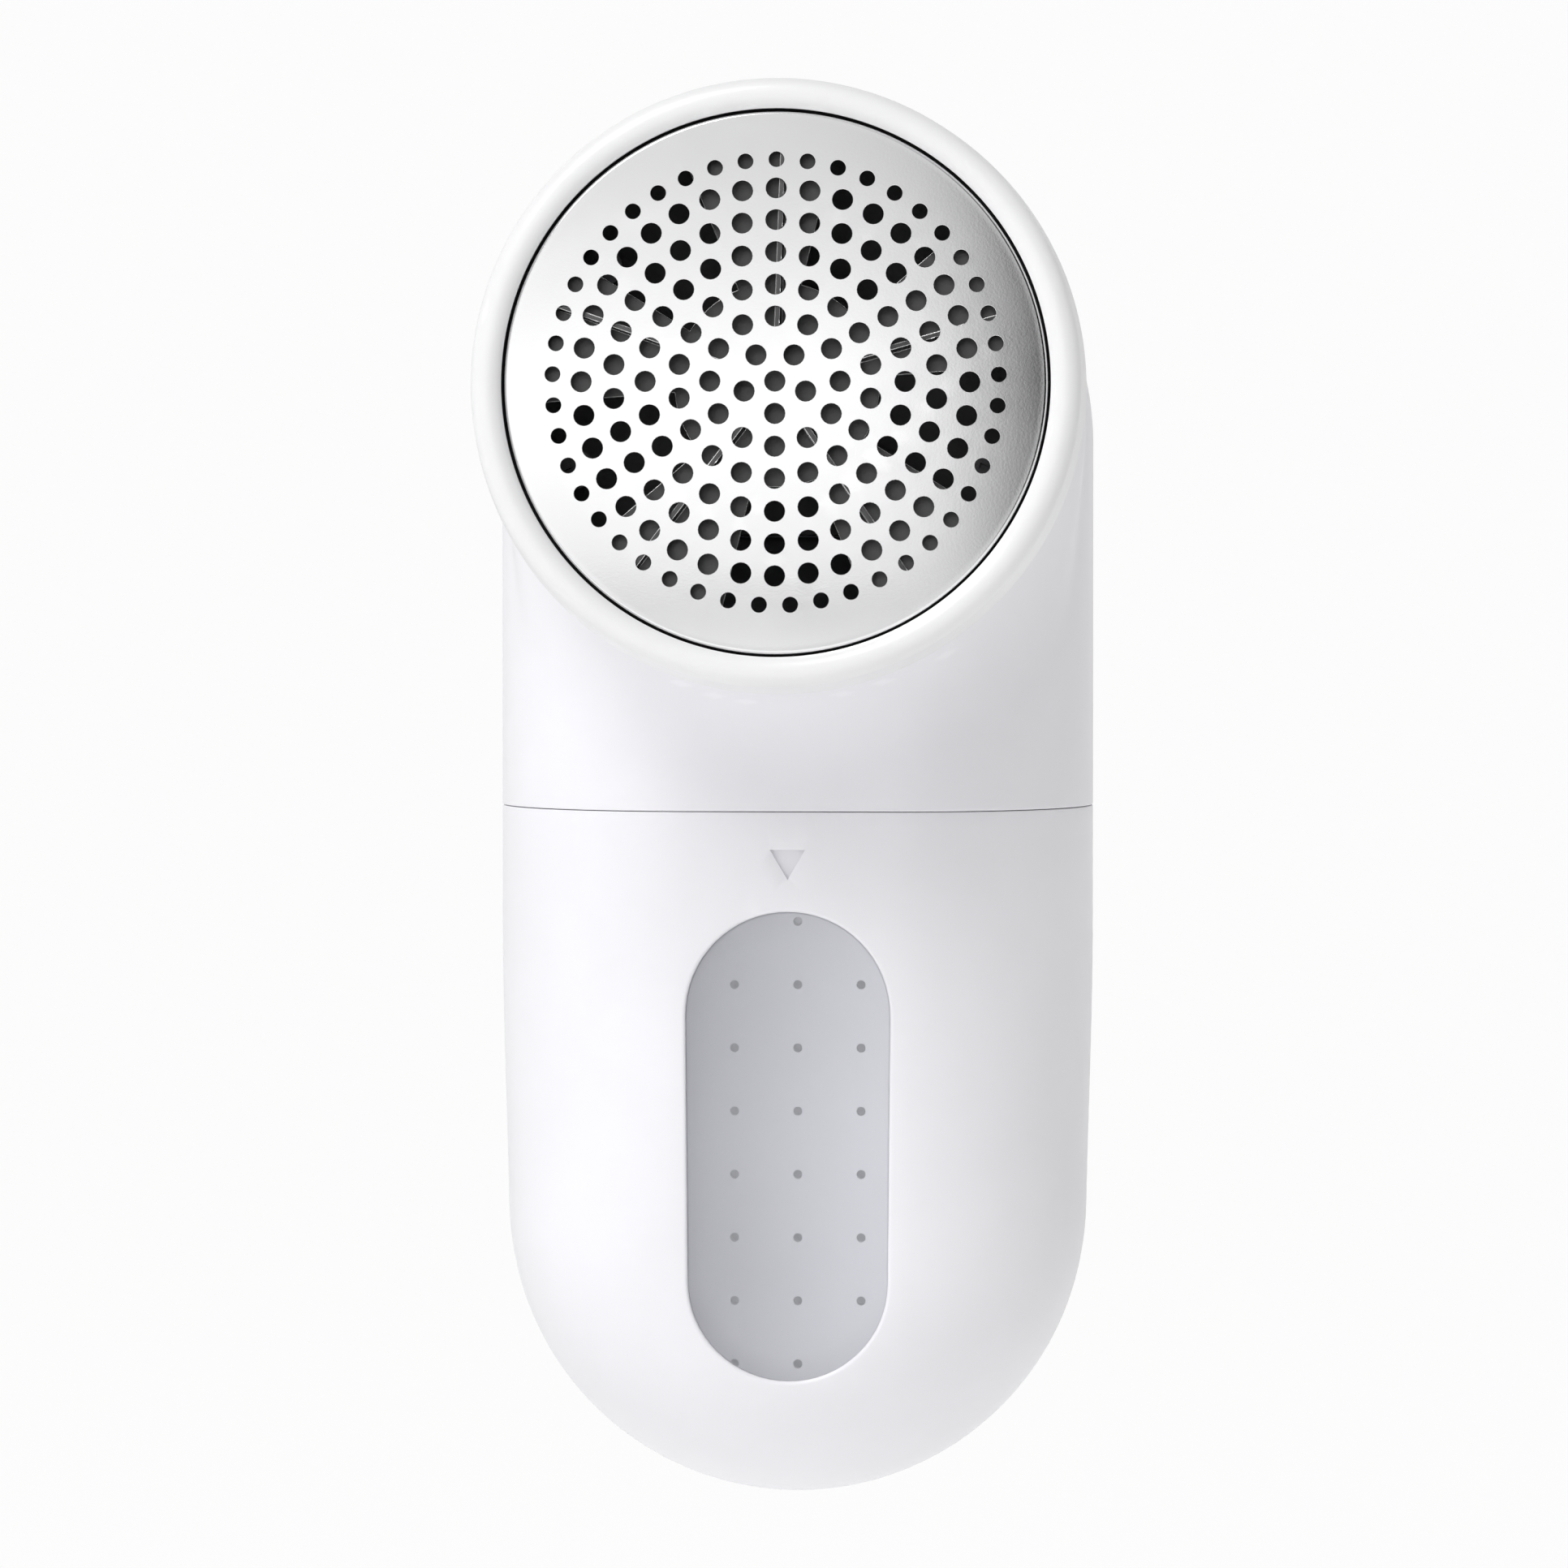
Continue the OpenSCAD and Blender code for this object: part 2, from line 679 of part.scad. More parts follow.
module inner_frame() {
    color("lightgray") difference() {
        union() {
            difference() {
                y_rod(frame_r, 0, outline_r, split_y, frame_rear);
                y_box(-body_w, body_w, split_y - cut, frame_rear + cut, outline_r, body_w);
            }
            y_box(-frame_r, frame_r, split_y, frame_rear, outline_r, frame_top);
            for (side = [-1, 1], z = frame_post_z)
                y_rod(3.2, side * frame_post_x, z, frame_rear - eps, frame_rear + 1.35);
            for (x = [-13, 13], z = [pcb_z[0] + 3, pcb_z[1] - 3])
                y_rod(1.6, x, z, frame_rear - eps, pcb_y);
        }
        for (side = [-1, 1]) {
            y_box(side * rail_x - rail_neck / 2 - rail_play,
                  side * rail_x + rail_neck / 2 + rail_play,
                  split_y - cut, frame_rear + cut, 0, rail_z[1] + 0.3);
            for (z = frame_post_z) {
                y_rod(screw_hole_r, side * frame_post_x, z, split_y, frame_rear + 2);
                y_rod(head_r + 0.2, side * frame_post_x, z, split_y - cut, split_y + 1.4);
            }
            y_rod(screw_hole_r, side * frame_post_x, shell_post_z, split_y - cut,
                  frame_rear + cut);
        }
        y_box(-2, 2, split_y - cut, frame_rear + cut, latch_z - 4, latch_z + 6);
        y_box(-2, 2, split_y - cut, split_y + 0.4, latch_z + 5, latch_z + 12);
    }
}

// A pan-head screw along the depth; its head is at y and its shank runs toward dir
module y_screw(x, z, y, dir, depth) {
    translate([x, y, z]) rotate([dir > 0 ? 90 : -90, 0, 0]) head_screw(0, depth);
}

module frame_screws() {
    color("silver") for (side = [-1, 1], z = frame_post_z)
        y_screw(side * frame_post_x, z, split_y + 1.4, 1, 7);
}

module shell_screws() {
    color("silver") for (side = [-1, 1])
        y_screw(side * frame_post_x, shell_post_z, frame_rear, -1, 8);
}

// ---- lint bin --------------------------------------------------------------------------------

module bin_shape(inset, y1, z1) {
    low_end(inset, inset - edge_r, y1);
    straight(inset, inset - edge_r, y1, outline_r, z1);
}

module lint_bin() {
    color("white") difference() {
        bin_shape(0, bin_rear, bin_top);
        bin_shape(wall, bin_rear + cut, bin_top + cut);
        stadium(window_w, window_h, window_z, -edge_r - cut, -edge_r / 2);
        translate([0, arrow_depth - edge_r, arrow_z]) rotate([90, 0, 0]) linear_extrude(cut)
            polygon([[-arrow_w / 2, 0], [arrow_w / 2, 0], [0, -arrow_h]]);
    }
}

module window_skin(grow, outer, inner) {
    intersection() {
        stadium(window_w + 2 * grow, window_h + 2 * grow, window_z, -edge_r - cut, -edge_r / 2);
        difference() {
            bin_shape(outer, -2, bin_top);
            bin_shape(inner, -1, bin_top + cut);
        }
    }
}

module bin_window() {
    color("lightsteelblue", 0.5) {
        window_skin(-0.05, 0.35, wall + 0.5);
        window_skin(1.8, wall + 0.03, wall + 1);
    }
}

module bin_back() {
    color("gainsboro") difference() {
        union() {
            intersection() {
                bin_shape(wall + 0.05, bin_rear, bin_top);
                y_box(-body_w, body_w, bin_rear - plate_t, bin_rear, -cut, bin_top);
            }
            for (side = [-1, 1]) {
                y_box(side * rail_x - rail_neck / 2, side * rail_x + rail_neck / 2,
                      bin_rear - eps, frame_rear + 0.3, rail_z[0] + 2, rail_z[1]);
                y_box(side * rail_x - rail_head / 2, side * rail_x + rail_head / 2,
                      frame_rear + 0.1, frame_rear + 1.2, rail_z[0] + 2, rail_z[1]);
            }
        }
        for (col = [-1 : 1], row = [0 : 7])
            y_rod(vent_d / 2, col * vent_pitch, vent_z + row * vent_pitch,
                  bin_rear - plate_t - cut, bin_rear + cut);
        translate([0, split_y + 0.8, latch_z]) sphere(r = latch_dome + 0.15);
    }
}

module bin_latch() {
    color("silver") {
        y_box(-1.6, 1.6, split_y + 0.03, split_y + 0.4, latch_z - 3.5, latch_z + 11.5);
        intersection() {
            translate([0, split_y + 0.8, latch_z]) sphere(r = latch_dome);
            y_box(-3, 3, 0, split_y + 0.4, latch_z - 3, latch_z + 3);
        }
    }
}

// ---- electrics -----------------------------------------------------------------------------------

module battery_cell() {
    color("steelblue") translate([0, cell_y, cell_z]) {
        cylinder(r = cell_r, h = cell_l - 1);
        cylinder(r = cell_r * 0.42, h = cell_l);
    }
}

module cell_tabs() {
    color("silver") {
        y_box(-3, 3, cell_y - 4, cell_y + 4, cell_z - 0.3, cell_z);
        y_box(-3, 3, cell_y - 4, cell_y + 4, cell_z + cell_l, cell_z + cell_l + 0.3);
    }
}

module main_pcb() {
    color("darkgreen") y_box(-pcb_hw, pcb_hw, pcb_y, pcb_rear, pcb_z[0], pcb_z[1]);
}

module pcb_components() {
    color("dimgray") {
        y_box(-11, -6, pcb_rear, pcb_rear + 1.6, 77, 81);
        y_box(7, 13, pcb_rear, pcb_rear + 1.2, 84, 88);
        y_box(-1, 1, pcb_rear, pcb_rear + 0.8, led_z - 1, led_z + 1);
        y_box(-13, -10, pcb_rear, pcb_rear + 1, 86, 88);
        translate([10, pcb_rear + 3.2, 75]) cylinder(r = 2.5, h = 6);
        y_box(8, 12, pcb_rear, pcb_rear + 1, 76, 80);
    }
}

module tact_switch() {
    color("black") {
        y_box(-3, 3, pcb_rear, pcb_rear + 3.3, button_z - 3, button_z + 3);
        y_rod(1.7, 0, button_z, pcb_rear + 3.2, pcb_rear + 4);
    }
}

module power_button() {
    color("whitesmoke") {
        y_rod(button_d / 2, 0, button_z, edge_r - wall - 1, edge_r - 0.1);
        y_rod(button_d / 2 + 1.2, 0, button_z, edge_r - wall - 1.3, edge_r - wall - 0.1);
        y_rod(2, 0, button_z, pcb_rear + 4.8, edge_r - wall - 1);
    }
}

module led_lens() {
    color("azure") y_rod(1.2, 0, led_z, pcb_rear + 0.9, edge_r - 0.05);
}

// The receptacle's rounded section grown by an amount, along the height
module usb_slot(grow, z0, z1) {
    r = usb_t / 2 + grow;
    half = (usb_w - usb_t) / 2;
    for (side = [-1, 1]) translate([side * half, usb_y, z0]) cylinder(r = r, h = z1 - z0);
    y_box(-half, half, usb_y - r, usb_y + r, z0, z1);
}

module usb_port() {
    color("silver") difference() {
        usb_slot(0, usb_z[0], usb_z[1]);
        usb_slot(-0.3, usb_z[0] - cut, usb_z[1] - 1);
    }
}

module usb_tongue() {
    color("black") y_box(-3.3, 3.3, usb_y - 0.35, usb_y + 0.35, usb_z[0] + 1.2, usb_z[1] - 1);
}

module charge_pcb() {
    color("darkgreen") y_box(-8, 8, usb_y + usb_t / 2 + 0.02, usb_y + usb_t / 2 + 1.02,
                             board_z[0], board_z[1]);
}

module lead_wires() {
    r = 0.55;
    color("firebrick") {
        for (side = [-1, 1]) {
            wire([[side * 7.5, 12.4, 15.5], [side * 7.8, 12.4, 19], [side * 11.8, 6.9, 24],
                  [side * 11.8, 6.9, 73]], r);
            wire([[side * 6, 11.4, head_z - 1.1], [side * 6, 11.5, 97], [side * 4.5, 7.4, 91]], r);
        }
        wire([[8.4, -12.1, head_z + 20], [16, -6, 120], [19.5, 3, 108], [18, 5.8, 96],
              [14.6, 7.1, 91.5]], r);
    }
}

seat() foil_ring();
seat() cutting_foil();
seat() foil_retainer();
seat() cutter_blades();
seat() blade_hub();
seat() blade_spring();
seat() drive_coupler();
seat() motor_shaft();
seat() motor_armature();
seat() motor_magnets();
seat() motor_can();
seat() motor_endcap();
seat() motor_terminals();
seat() motor_bracket();
seat() motor_screws();
seat() cutter_chamber();
seat() chamber_screws();
seat() shaft_seal();
seat() lint_duct();
seat() interlock_pin();
seat() interlock_switch();
seat() front_shell();
seat() rear_shell();
seat() inner_frame();
seat() frame_screws();
seat() shell_screws();
seat() lint_bin();
seat() bin_window();
seat() bin_back();
seat() bin_latch();
seat() battery_cell();
seat() cell_tabs();
seat() main_pcb();
seat() pcb_components();
seat() tact_switch();
seat() power_button();
seat() led_lens();
seat() charge_pcb();
seat() usb_port();
seat() usb_tongue();
seat() lead_wires();
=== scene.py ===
import json
import math
import bmesh
import bpy
import numpy as np
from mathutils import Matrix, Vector, geometry

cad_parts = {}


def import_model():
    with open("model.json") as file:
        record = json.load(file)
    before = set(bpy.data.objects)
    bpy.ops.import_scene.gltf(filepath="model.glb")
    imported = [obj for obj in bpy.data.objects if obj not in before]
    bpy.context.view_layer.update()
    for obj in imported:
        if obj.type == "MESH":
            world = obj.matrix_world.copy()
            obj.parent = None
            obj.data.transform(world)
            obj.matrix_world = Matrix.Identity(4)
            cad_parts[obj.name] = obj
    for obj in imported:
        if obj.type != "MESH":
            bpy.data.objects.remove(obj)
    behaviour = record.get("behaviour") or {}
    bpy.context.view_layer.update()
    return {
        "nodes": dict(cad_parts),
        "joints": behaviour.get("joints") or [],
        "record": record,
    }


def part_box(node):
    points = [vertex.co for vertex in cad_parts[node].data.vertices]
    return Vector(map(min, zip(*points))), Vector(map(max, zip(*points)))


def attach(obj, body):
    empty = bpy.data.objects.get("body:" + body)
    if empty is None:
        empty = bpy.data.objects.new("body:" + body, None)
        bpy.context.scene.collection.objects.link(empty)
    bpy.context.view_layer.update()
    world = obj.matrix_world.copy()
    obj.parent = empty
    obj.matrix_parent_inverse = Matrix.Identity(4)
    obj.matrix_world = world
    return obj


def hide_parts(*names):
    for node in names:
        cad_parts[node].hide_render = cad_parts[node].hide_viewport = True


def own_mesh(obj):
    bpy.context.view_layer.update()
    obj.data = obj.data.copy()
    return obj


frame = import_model()
NODES = frame["nodes"]
JOINTS = {joint["name"]: joint for joint in frame["joints"]}

# ---- sizes in millimetres, most of them taken from the frame ----
MM = 0.001


def span(node, axis):
    """Lowest and highest place of a CAD node along an axis, in millimetres."""
    lo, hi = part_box(node)
    return lo[axis] / MM, hi[axis] / MM


# The handle is an upright pill, rounded at its ends and round its sides
SEAT_Y = (span("rear_shell", 1)[1] + span("lint_bin", 1)[0]) / 2  # frame y of the handle's middle
EDGE_R = (span("rear_shell", 1)[1] - span("lint_bin", 1)[0]) / 2  # rounding of the sides
OUTLINE_R = span("rear_shell", 0)[1]                              # rounding of the ends
PILL_H = span("rear_shell", 2)[1]
FLAT = OUTLINE_R - EDGE_R                                         # half width of the flat face
LOW, HIGH = OUTLINE_R, PILL_H - OUTLINE_R                         # centres of the rounded ends
WALL = 2.0
LOWER_TAPER = 0.024                                               # share by which the lower end narrows
TAPER_TOP, TAPER_END = 56.0, 22.0                                 # heights where narrowing starts and ends

# Joints between the shells and the bin
SPLIT_Y = span("inner_frame", 1)[0] - SEAT_Y  # depth where front and rear meet
BIN_TOP, SEAM_Z = span("lint_bin", 2)[1], span("front_shell", 2)[0]
SEAM_CLOSE = 0.12                             # how far a lip covers the bin's play
BIN_REAR = span("lint_bin", 1)[1] - SEAT_Y + SEAM_CLOSE
PANE_LIP = 1.8                                # pane's flange behind the wall
WINDOW_W = 2 * (span("bin_window", 0)[1] - PANE_LIP)
WINDOW_Z = (span("bin_window", 2)[0] + PANE_LIP, span("bin_window", 2)[1] - PANE_LIP)

# The head leans up; places along its axis count from the handle's middle
HEAD_Z = JOINTS["ring_twist"]["pos_m"][2] / MM
HEAD_AXIS = np.array(JOINTS["ring_twist"]["axis"], float)
HEAD_UP = np.array([0, HEAD_AXIS[2], -HEAD_AXIS[1]])
BARREL_S = 31.5  # front of the barrel
RING_R = span("foil_ring", 0)[1]
FOIL_R = 26.0


def place(points):
    """Handle millimetres (y = 0 at the middle of the depth) to the frame's metres."""
    p = np.array(points, float).reshape(-1, 3)
    p[:, 1] += SEAT_Y
    return p * MM


def head_point(x, up, s):
    """Points given across, up and along the head's axis, in handle millimetres."""
    x, up, s = np.broadcast_arrays(*(np.asarray(v, float) for v in (x, up, s)))
    p = up[..., None] * HEAD_UP + s[..., None] * HEAD_AXIS
    p[..., 0] += x
    p[..., 2] += HEAD_Z
    return p


def head_circle(r, turn, s):
    """Points on a circle round the head's axis."""
    return head_point(r * np.cos(turn), r * np.sin(turn), s)


def smooth(t):
    t = np.clip(t, 0, 1)
    return t * t * (3 - 2 * t)


def draw_in(p):
    """Sides of the lower body that draw in slightly toward a tighter lower end."""
    p = np.array(p, float)
    x, z = p[..., 0].copy(), p[..., 2].copy()
    p[..., 0] = x * (1 - LOWER_TAPER * smooth((TAPER_TOP - z) / (TAPER_TOP - TAPER_END)))
    lift = LOWER_TAPER * LOW
    p[..., 2] = z - lift * np.where(z < LOW, z / LOW, 1 - smooth((z - LOW) / LOW))
    return p


# ---- meshes ---------------------------------------------
class Solid:
    """Collects the points (handle millimetres) and faces of one piece."""
    def __init__(self):
        self.points, self.faces, self.count = [], [], 0

    def add(self, pts):
        pts = np.asarray(pts, float).reshape(-1, 3)
        first = self.count
        self.points.append(pts)
        self.count += len(pts)
        return list(range(first, self.count))

    def strip(self, a, b, closed=True):
        n = len(a)
        for i in range(n if closed else n - 1):
            j = (i + 1) % n
            self.faces.append((a[i], a[j], b[j], b[i]))

    def skins(self, outer, inner, faces):
        """The two skins of a wall, the inner one facing the other way."""
        a, b = self.add(outer), self.add(inner)
        for f in faces:
            self.faces.append(tuple(a[i] for i in f))
            self.faces.append(tuple(b[i] for i in reversed(f)))
        return a, b

    def box(self, lo, hi):
        (x0, y0, z0), (x1, y1, z1) = lo, hi
        base, top = (self.add([(x0, y0, z), (x1, y0, z), (x1, y1, z), (x0, y1, z)]) for z in (z0, z1))
        self.strip(base, top)
        self.faces.append(tuple(base))
        self.faces.append(tuple(top))

    def hoop(self, rows):
        """Closed rows of points joined in turn, the last one back to the first."""
        for p, q in zip(rows, rows[1:] + rows[:1]):
            self.strip(p, q)

    def bar(self, rows):
        """A bar whose long edges are the rows, capped at both ends."""
        for p, q in zip(rows, rows[1:] + rows[:1]):
            self.strip(p, q, closed=False)
        self.faces.append(tuple(row[0] for row in rows))
        self.faces.append(tuple(row[-1] for row in reversed(rows)))

    def head_bar(self, section, turn):
        """A bar bent round the head's axis, its section given as (radius, place along the axis)."""
        self.bar([self.add(head_circle(r, turn, s)) for r, s in section])

    def revolve(self, profile, segments):
        """A closed profile of (radius, place along the head's axis) turned round that axis."""
        turn = np.linspace(0, 2 * math.pi, segments, endpoint=False)
        self.hoop([self.add(head_circle(r, turn, s)) for r, s in profile])

    def post(self, base, axis, length, segments=48):
        """A round screw post, bored through, from base along axis."""
        axis = np.asarray(axis, float) / np.linalg.norm(axis)
        side = np.cross(axis, (1, 0, 0))
        side /= np.linalg.norm(side)
        other = np.cross(axis, side)
        a = np.linspace(0, 2 * math.pi, segments, endpoint=False)
        ring = np.cos(a)[:, None] * side + np.sin(a)[:, None] * other
        corners = ((POST_R, 0), (POST_R, length), (POST_BORE, length), (POST_BORE, 0))
        self.hoop([self.add(np.asarray(base) + r * ring + axis * s) for r, s in corners])

    def build(self, name, material, body, node, bend=None, sharp=30):
        """Makes the Blender object, which rides on the body and stands for the CAD node."""
        pts = np.concatenate(self.points)
        if bend:
            pts = bend(pts)
        me = bpy.data.meshes.new(name)
        me.from_pydata(place(pts).tolist(), [], [tuple(int(i) for i in f) for f in self.faces])
        bm = bmesh.new()
        bm.from_mesh(me)
        bmesh.ops.delete(bm, geom=[v for v in bm.verts if not v.link_faces], context="VERTS")
        bmesh.ops.recalc_face_normals(bm, faces=bm.faces)
        bm.to_mesh(me)
        bm.free()
        me.polygons.foreach_set("use_smooth", [True] * len(me.polygons))
        me.set_sharp_from_angle(angle=math.radians(sharp))
        obj = bpy.data.objects.new(name, me)
        bpy.context.scene.collection.objects.link(obj)
        me.materials.append(MAT[material])
        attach(obj, body)
        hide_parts(node)
        return obj


def contains(loop, pts):
    """Which of the flat points lie inside the closed loop."""
    x, y = pts[:, 0], pts[:, 1]
    hit = np.zeros(len(pts), bool)
    for (x1, y1), (x0, y0) in zip(loop, np.roll(loop, 1, axis=0)):
        if y0 == y1:
            continue
        hit ^= ((y1 > y) != (y0 > y)) & (x < (x0 - x1) * (y - y1) / (y0 - y1) + x1)
    return hit


def in_region(loops, pts):
    """Which of the flat points lie inside the first loop and outside the others."""
    keep = contains(loops[0], pts)
    for hole in loops[1:]:
        keep &= ~contains(hole, pts)
    return keep


def dense(loop, step):
    """The closed loop with points added along its long edges."""
    loop = np.asarray(loop, float)
    parts = []
    for p, q in zip(loop, np.roll(loop, -1, axis=0)):
        n = max(1, math.ceil(np.linalg.norm(q - p) / step))
        parts.append(p + (q - p) * np.arange(n)[:, None] / n)
    return np.concatenate(parts)


def triangle_grid(lo, hi, step):
    """Points of a grid of near-even triangles."""
    rows = []
    for j, y in enumerate(np.arange(lo[1], hi[1], step * 0.866)):
        x = np.arange(lo[0] + (j % 2) * step / 2, hi[0], step)
        rows.append(np.column_stack([x, np.full(len(x), y)]))
    return np.concatenate(rows)


def flat_mesh(outline, holes, step, margin=0.8):
    """Triangles over a flat region with holes: (points, faces, index list of each loop).

    margin: how near a loop, in steps, a point of the grid may stand."""
    loops = [np.asarray(loop, float) for loop in [outline, *holes]]
    loop_pts = np.concatenate(loops)
    fill = triangle_grid(loop_pts.min(axis=0), loop_pts.max(axis=0), step)
    fill = fill[in_region(loops, fill)]
    chunk, tolerance, keep_inside = 400, 1e-7, 1
    near = np.concatenate([((part[:, None, :] - loop_pts[None]) ** 2).sum(-1).min(1)
                           for part in np.array_split(fill, max(1, len(fill) // chunk))])
    pts = np.concatenate([loop_pts, fill[near > (margin * step) ** 2]])
    edges, first, index = [], 0, []
    for loop in loops:
        n = len(loop)
        edges += [(first + i, first + (i + 1) % n) for i in range(n)]
        index.append(list(range(first, first + n)))
        first += n
    out, _, tris, source, _, _ = geometry.delaunay_2d_cdt([Vector(p) for p in pts], edges, [], 0,
                                                          tolerance, keep_inside)
    out = np.array([tuple(v) for v in out])
    where = {o: i for i, group in enumerate(source) for o in group}
    tris = np.array(tris)
    keep = in_region(loops, out[tris].mean(axis=1))
    return out, tris[keep].tolist(), [[where[i] for i in group] for group in index]


def shell(solid, outer, normal, inner, faces, rims, steps=4):
    """A closed wall between an outer and an inner skin of the same triangles.

    Each rim is (loop indices, sharp edge points, inner edge points, rounding radius)."""
    inner = inner.copy()
    for loop, _, back, _ in rims:
        inner[loop] = back
    a, b = solid.skins(outer, inner, faces)
    for loop, edge, _, r in rims:
        rows = [[a[i] for i in loop]]
        reach = edge - outer[loop]
        for k in range(1, steps + 1):
            t = math.pi / 2 * k / steps
            rows.append(solid.add(outer[loop] + reach * math.sin(t) - normal[loop] * r * (1 - math.cos(t))))
        rows.append([b[i] for i in loop])
        for p, q in zip(rows, rows[1:]):
            solid.strip(p, q)
    return a, b


# ---- the handle's unrolled skin -------------------------
TINY = 1e-9


def wrap(q, r, side):
    """Unrolled skin (across, up) to handle space and its normal, for sides rounded to radius r."""
    q = np.asarray(q, float)
    cz = np.clip(q[:, 1], LOW, HIGH)
    v = np.stack([q[:, 0], q[:, 1] - cz], 1)
    length = np.linalg.norm(v, axis=1)
    n = v / np.maximum(length, TINY)[:, None]
    turn = np.maximum(length - FLAT, 0) / r
    out = np.where(length <= FLAT, length, FLAT + r * np.sin(turn))
    p = np.stack([n[:, 0] * out, side * r * np.cos(turn), cz + n[:, 1] * out], 1)
    normal = np.stack([n[:, 0] * np.sin(turn), side * np.cos(turn), n[:, 1] * np.sin(turn)], 1)
    return p, normal


def unroll(xz, r):
    """Front-view points to the unrolled skin."""
    xz = np.asarray(xz, float)
    cz = np.clip(xz[:, 1], LOW, HIGH)
    v = np.stack([xz[:, 0], xz[:, 1] - cz], 1)
    length = np.linalg.norm(v, axis=1)
    turn = np.arcsin(np.clip((length - FLAT) / r, 0, 1))
    out = np.where(length <= FLAT, length, FLAT + r * turn)
    return np.stack([v[:, 0] / np.maximum(length, TINY) * out,
                     cz + v[:, 1] / np.maximum(length, TINY) * out], 1)


def straight_back(xz, r, side=-1):
    """Points of the skin of radius r straight behind front-view points."""
    return wrap(unroll(xz, r), r, side)[0]


def rim_reach(r, y, side):
    """Half width of the unrolled skin whose edge lies at depth y."""
    return FLAT + r * math.acos(max(-1, min(1, y * side / r)))


def bottom_point(xy, r):
    """Unrolled place of a point of the rear shell's lower end given by width and depth."""
    xy = np.asarray(xy, float)
    turn = np.arccos(np.clip(xy[:, 1] / r, -1, 1))
    nx = xy[:, 0] / (FLAT + r * np.sin(turn))
    out = FLAT + r * turn
    return np.stack([nx * out, LOW - np.sqrt(1 - nx ** 2) * out], 1)


def arc(cx, cz, r, a0, a1, n, end=False):
    """n points of a circle from angle a0 to a1, in degrees."""
    a = np.radians(np.linspace(a0, a1, n, endpoint=end))
    return np.stack([cx + r * np.cos(a), cz + r * np.sin(a)], 1)


def stadium(w, z0, z1, n=32):
    """Upright rounded slot seen from the front."""
    r = w / 2
    left = np.stack([np.full(n, -r), np.linspace(z1 - r, z0 + r, n, endpoint=False)], 1)
    right = -left + (0, z0 + z1)
    return np.concatenate([arc(0, z1 - r, r, 0, 180, n), left, arc(0, z0 + r, r, 180, 360, n), right])


# ---- materials ------------------------------------------
class Nodes:
    """Short way to build a shader tree."""
    def __init__(self, owner, output="ShaderNodeOutputMaterial"):
        self.owner = owner
        owner.use_nodes = True
        self.tree = owner.node_tree
        self.tree.nodes.clear()
        self.out = self.tree.nodes.new(output)
        self.object_place = None

    def add(self, kind, props=None, **inputs):
        n = self.tree.nodes.new(kind)
        for k, v in (props or {}).items():
            setattr(n, k, v)
        for k, v in inputs.items():
            self.put(n, k.replace("_", " "), v)
        return n

    def put(self, n, key, v):
        """Sets or links an input, named by its label or its number."""
        sock = n.inputs[key]
        if isinstance(v, bpy.types.NodeSocket):
            self.tree.links.new(v, sock)
        else:
            sock.default_value = v

    def numbered(self, kind, *values, props=None):
        """A node whose first inputs get the values in turn."""
        n = self.add(kind, props)
        for i, v in enumerate(values):
            self.put(n, i, v)
        return n.outputs[0]

    def math(self, op, a, b=0.0, clamp=False):
        return self.numbered("ShaderNodeMath", a, b, props={"operation": op, "use_clamp": clamp})

    def mix(self, share, a, b):
        """Shader a where share is 0, b where it is 1."""
        return self.numbered("ShaderNodeMixShader", share, a, b)

    def mix_color(self, share, a, b):
        """Colour a where share is 0, b where it is 1."""
        n = self.add("ShaderNodeMix", {"data_type": "RGBA"})
        for key, v in ((0, share), (6, a), (7, b)):
            self.put(n, key, v)
        return n.outputs[2]

    def ramp(self, share, stops):
        """Grey level from stops of (place, level)."""
        n = self.add("ShaderNodeValToRGB")
        self.put(n, 0, share)
        marks = n.color_ramp.elements
        marks.remove(marks[1])
        for i, (pos, level) in enumerate(stops):
            e = marks.new(pos) if i else marks[0]
            e.position = pos
            e.color = (level, level, level, 1)
        return n.outputs[0]

    def remap(self, value, a, b, c, d):
        """The range a to b stretched to c to d."""
        n = self.add("ShaderNodeMapRange", Value=value, From_Min=a, From_Max=b, To_Min=c, To_Max=d)
        return n.outputs[0]

    def noise(self, scale, detail=3.0, rough=0.5):
        n = self.add("ShaderNodeTexNoise", Scale=scale, Detail=detail, Roughness=rough, Vector=self.coords())
        return n.outputs["Fac"]

    def coords(self):
        if self.object_place is None:
            self.object_place = self.add("ShaderNodeTexCoord").outputs["Object"]
        return self.object_place

    def parts(self, vector):
        """The x, y and z of a vector."""
        return self.add("ShaderNodeSeparateXYZ", Vector=vector).outputs

    def across_window(self, left, right):
        """A level that runs from the window's left to its right side."""
        half = WINDOW_W / 2 * MM
        return self.remap(self.parts(self.coords())[0], -half, half, left, right)

    def finish(self, shader):
        self.tree.links.new(shader, self.out.inputs["Surface"])
        return self.owner


def tint(color, k):
    return tuple(max(0.0, min(1.0, c * k)) for c in color[:3]) + (1.0,)


NOISE_RANGE = (0.3, 0.7)                 # where most of a noise's values lie
PATCH_SCALE, SMEAR_SCALE = 45, 45 * 3.1  # per metre
GRAIN_HEIGHT = 0.0002
COAT_ROUGH = 0.12
EDGE_TURN = (0.52, 0.62)                 # pointiness where wear starts and is full
EDGE_SHARE, EDGE_LIGHTER, EDGE_SMOOTHER = 0.35, 1.12, 0.05


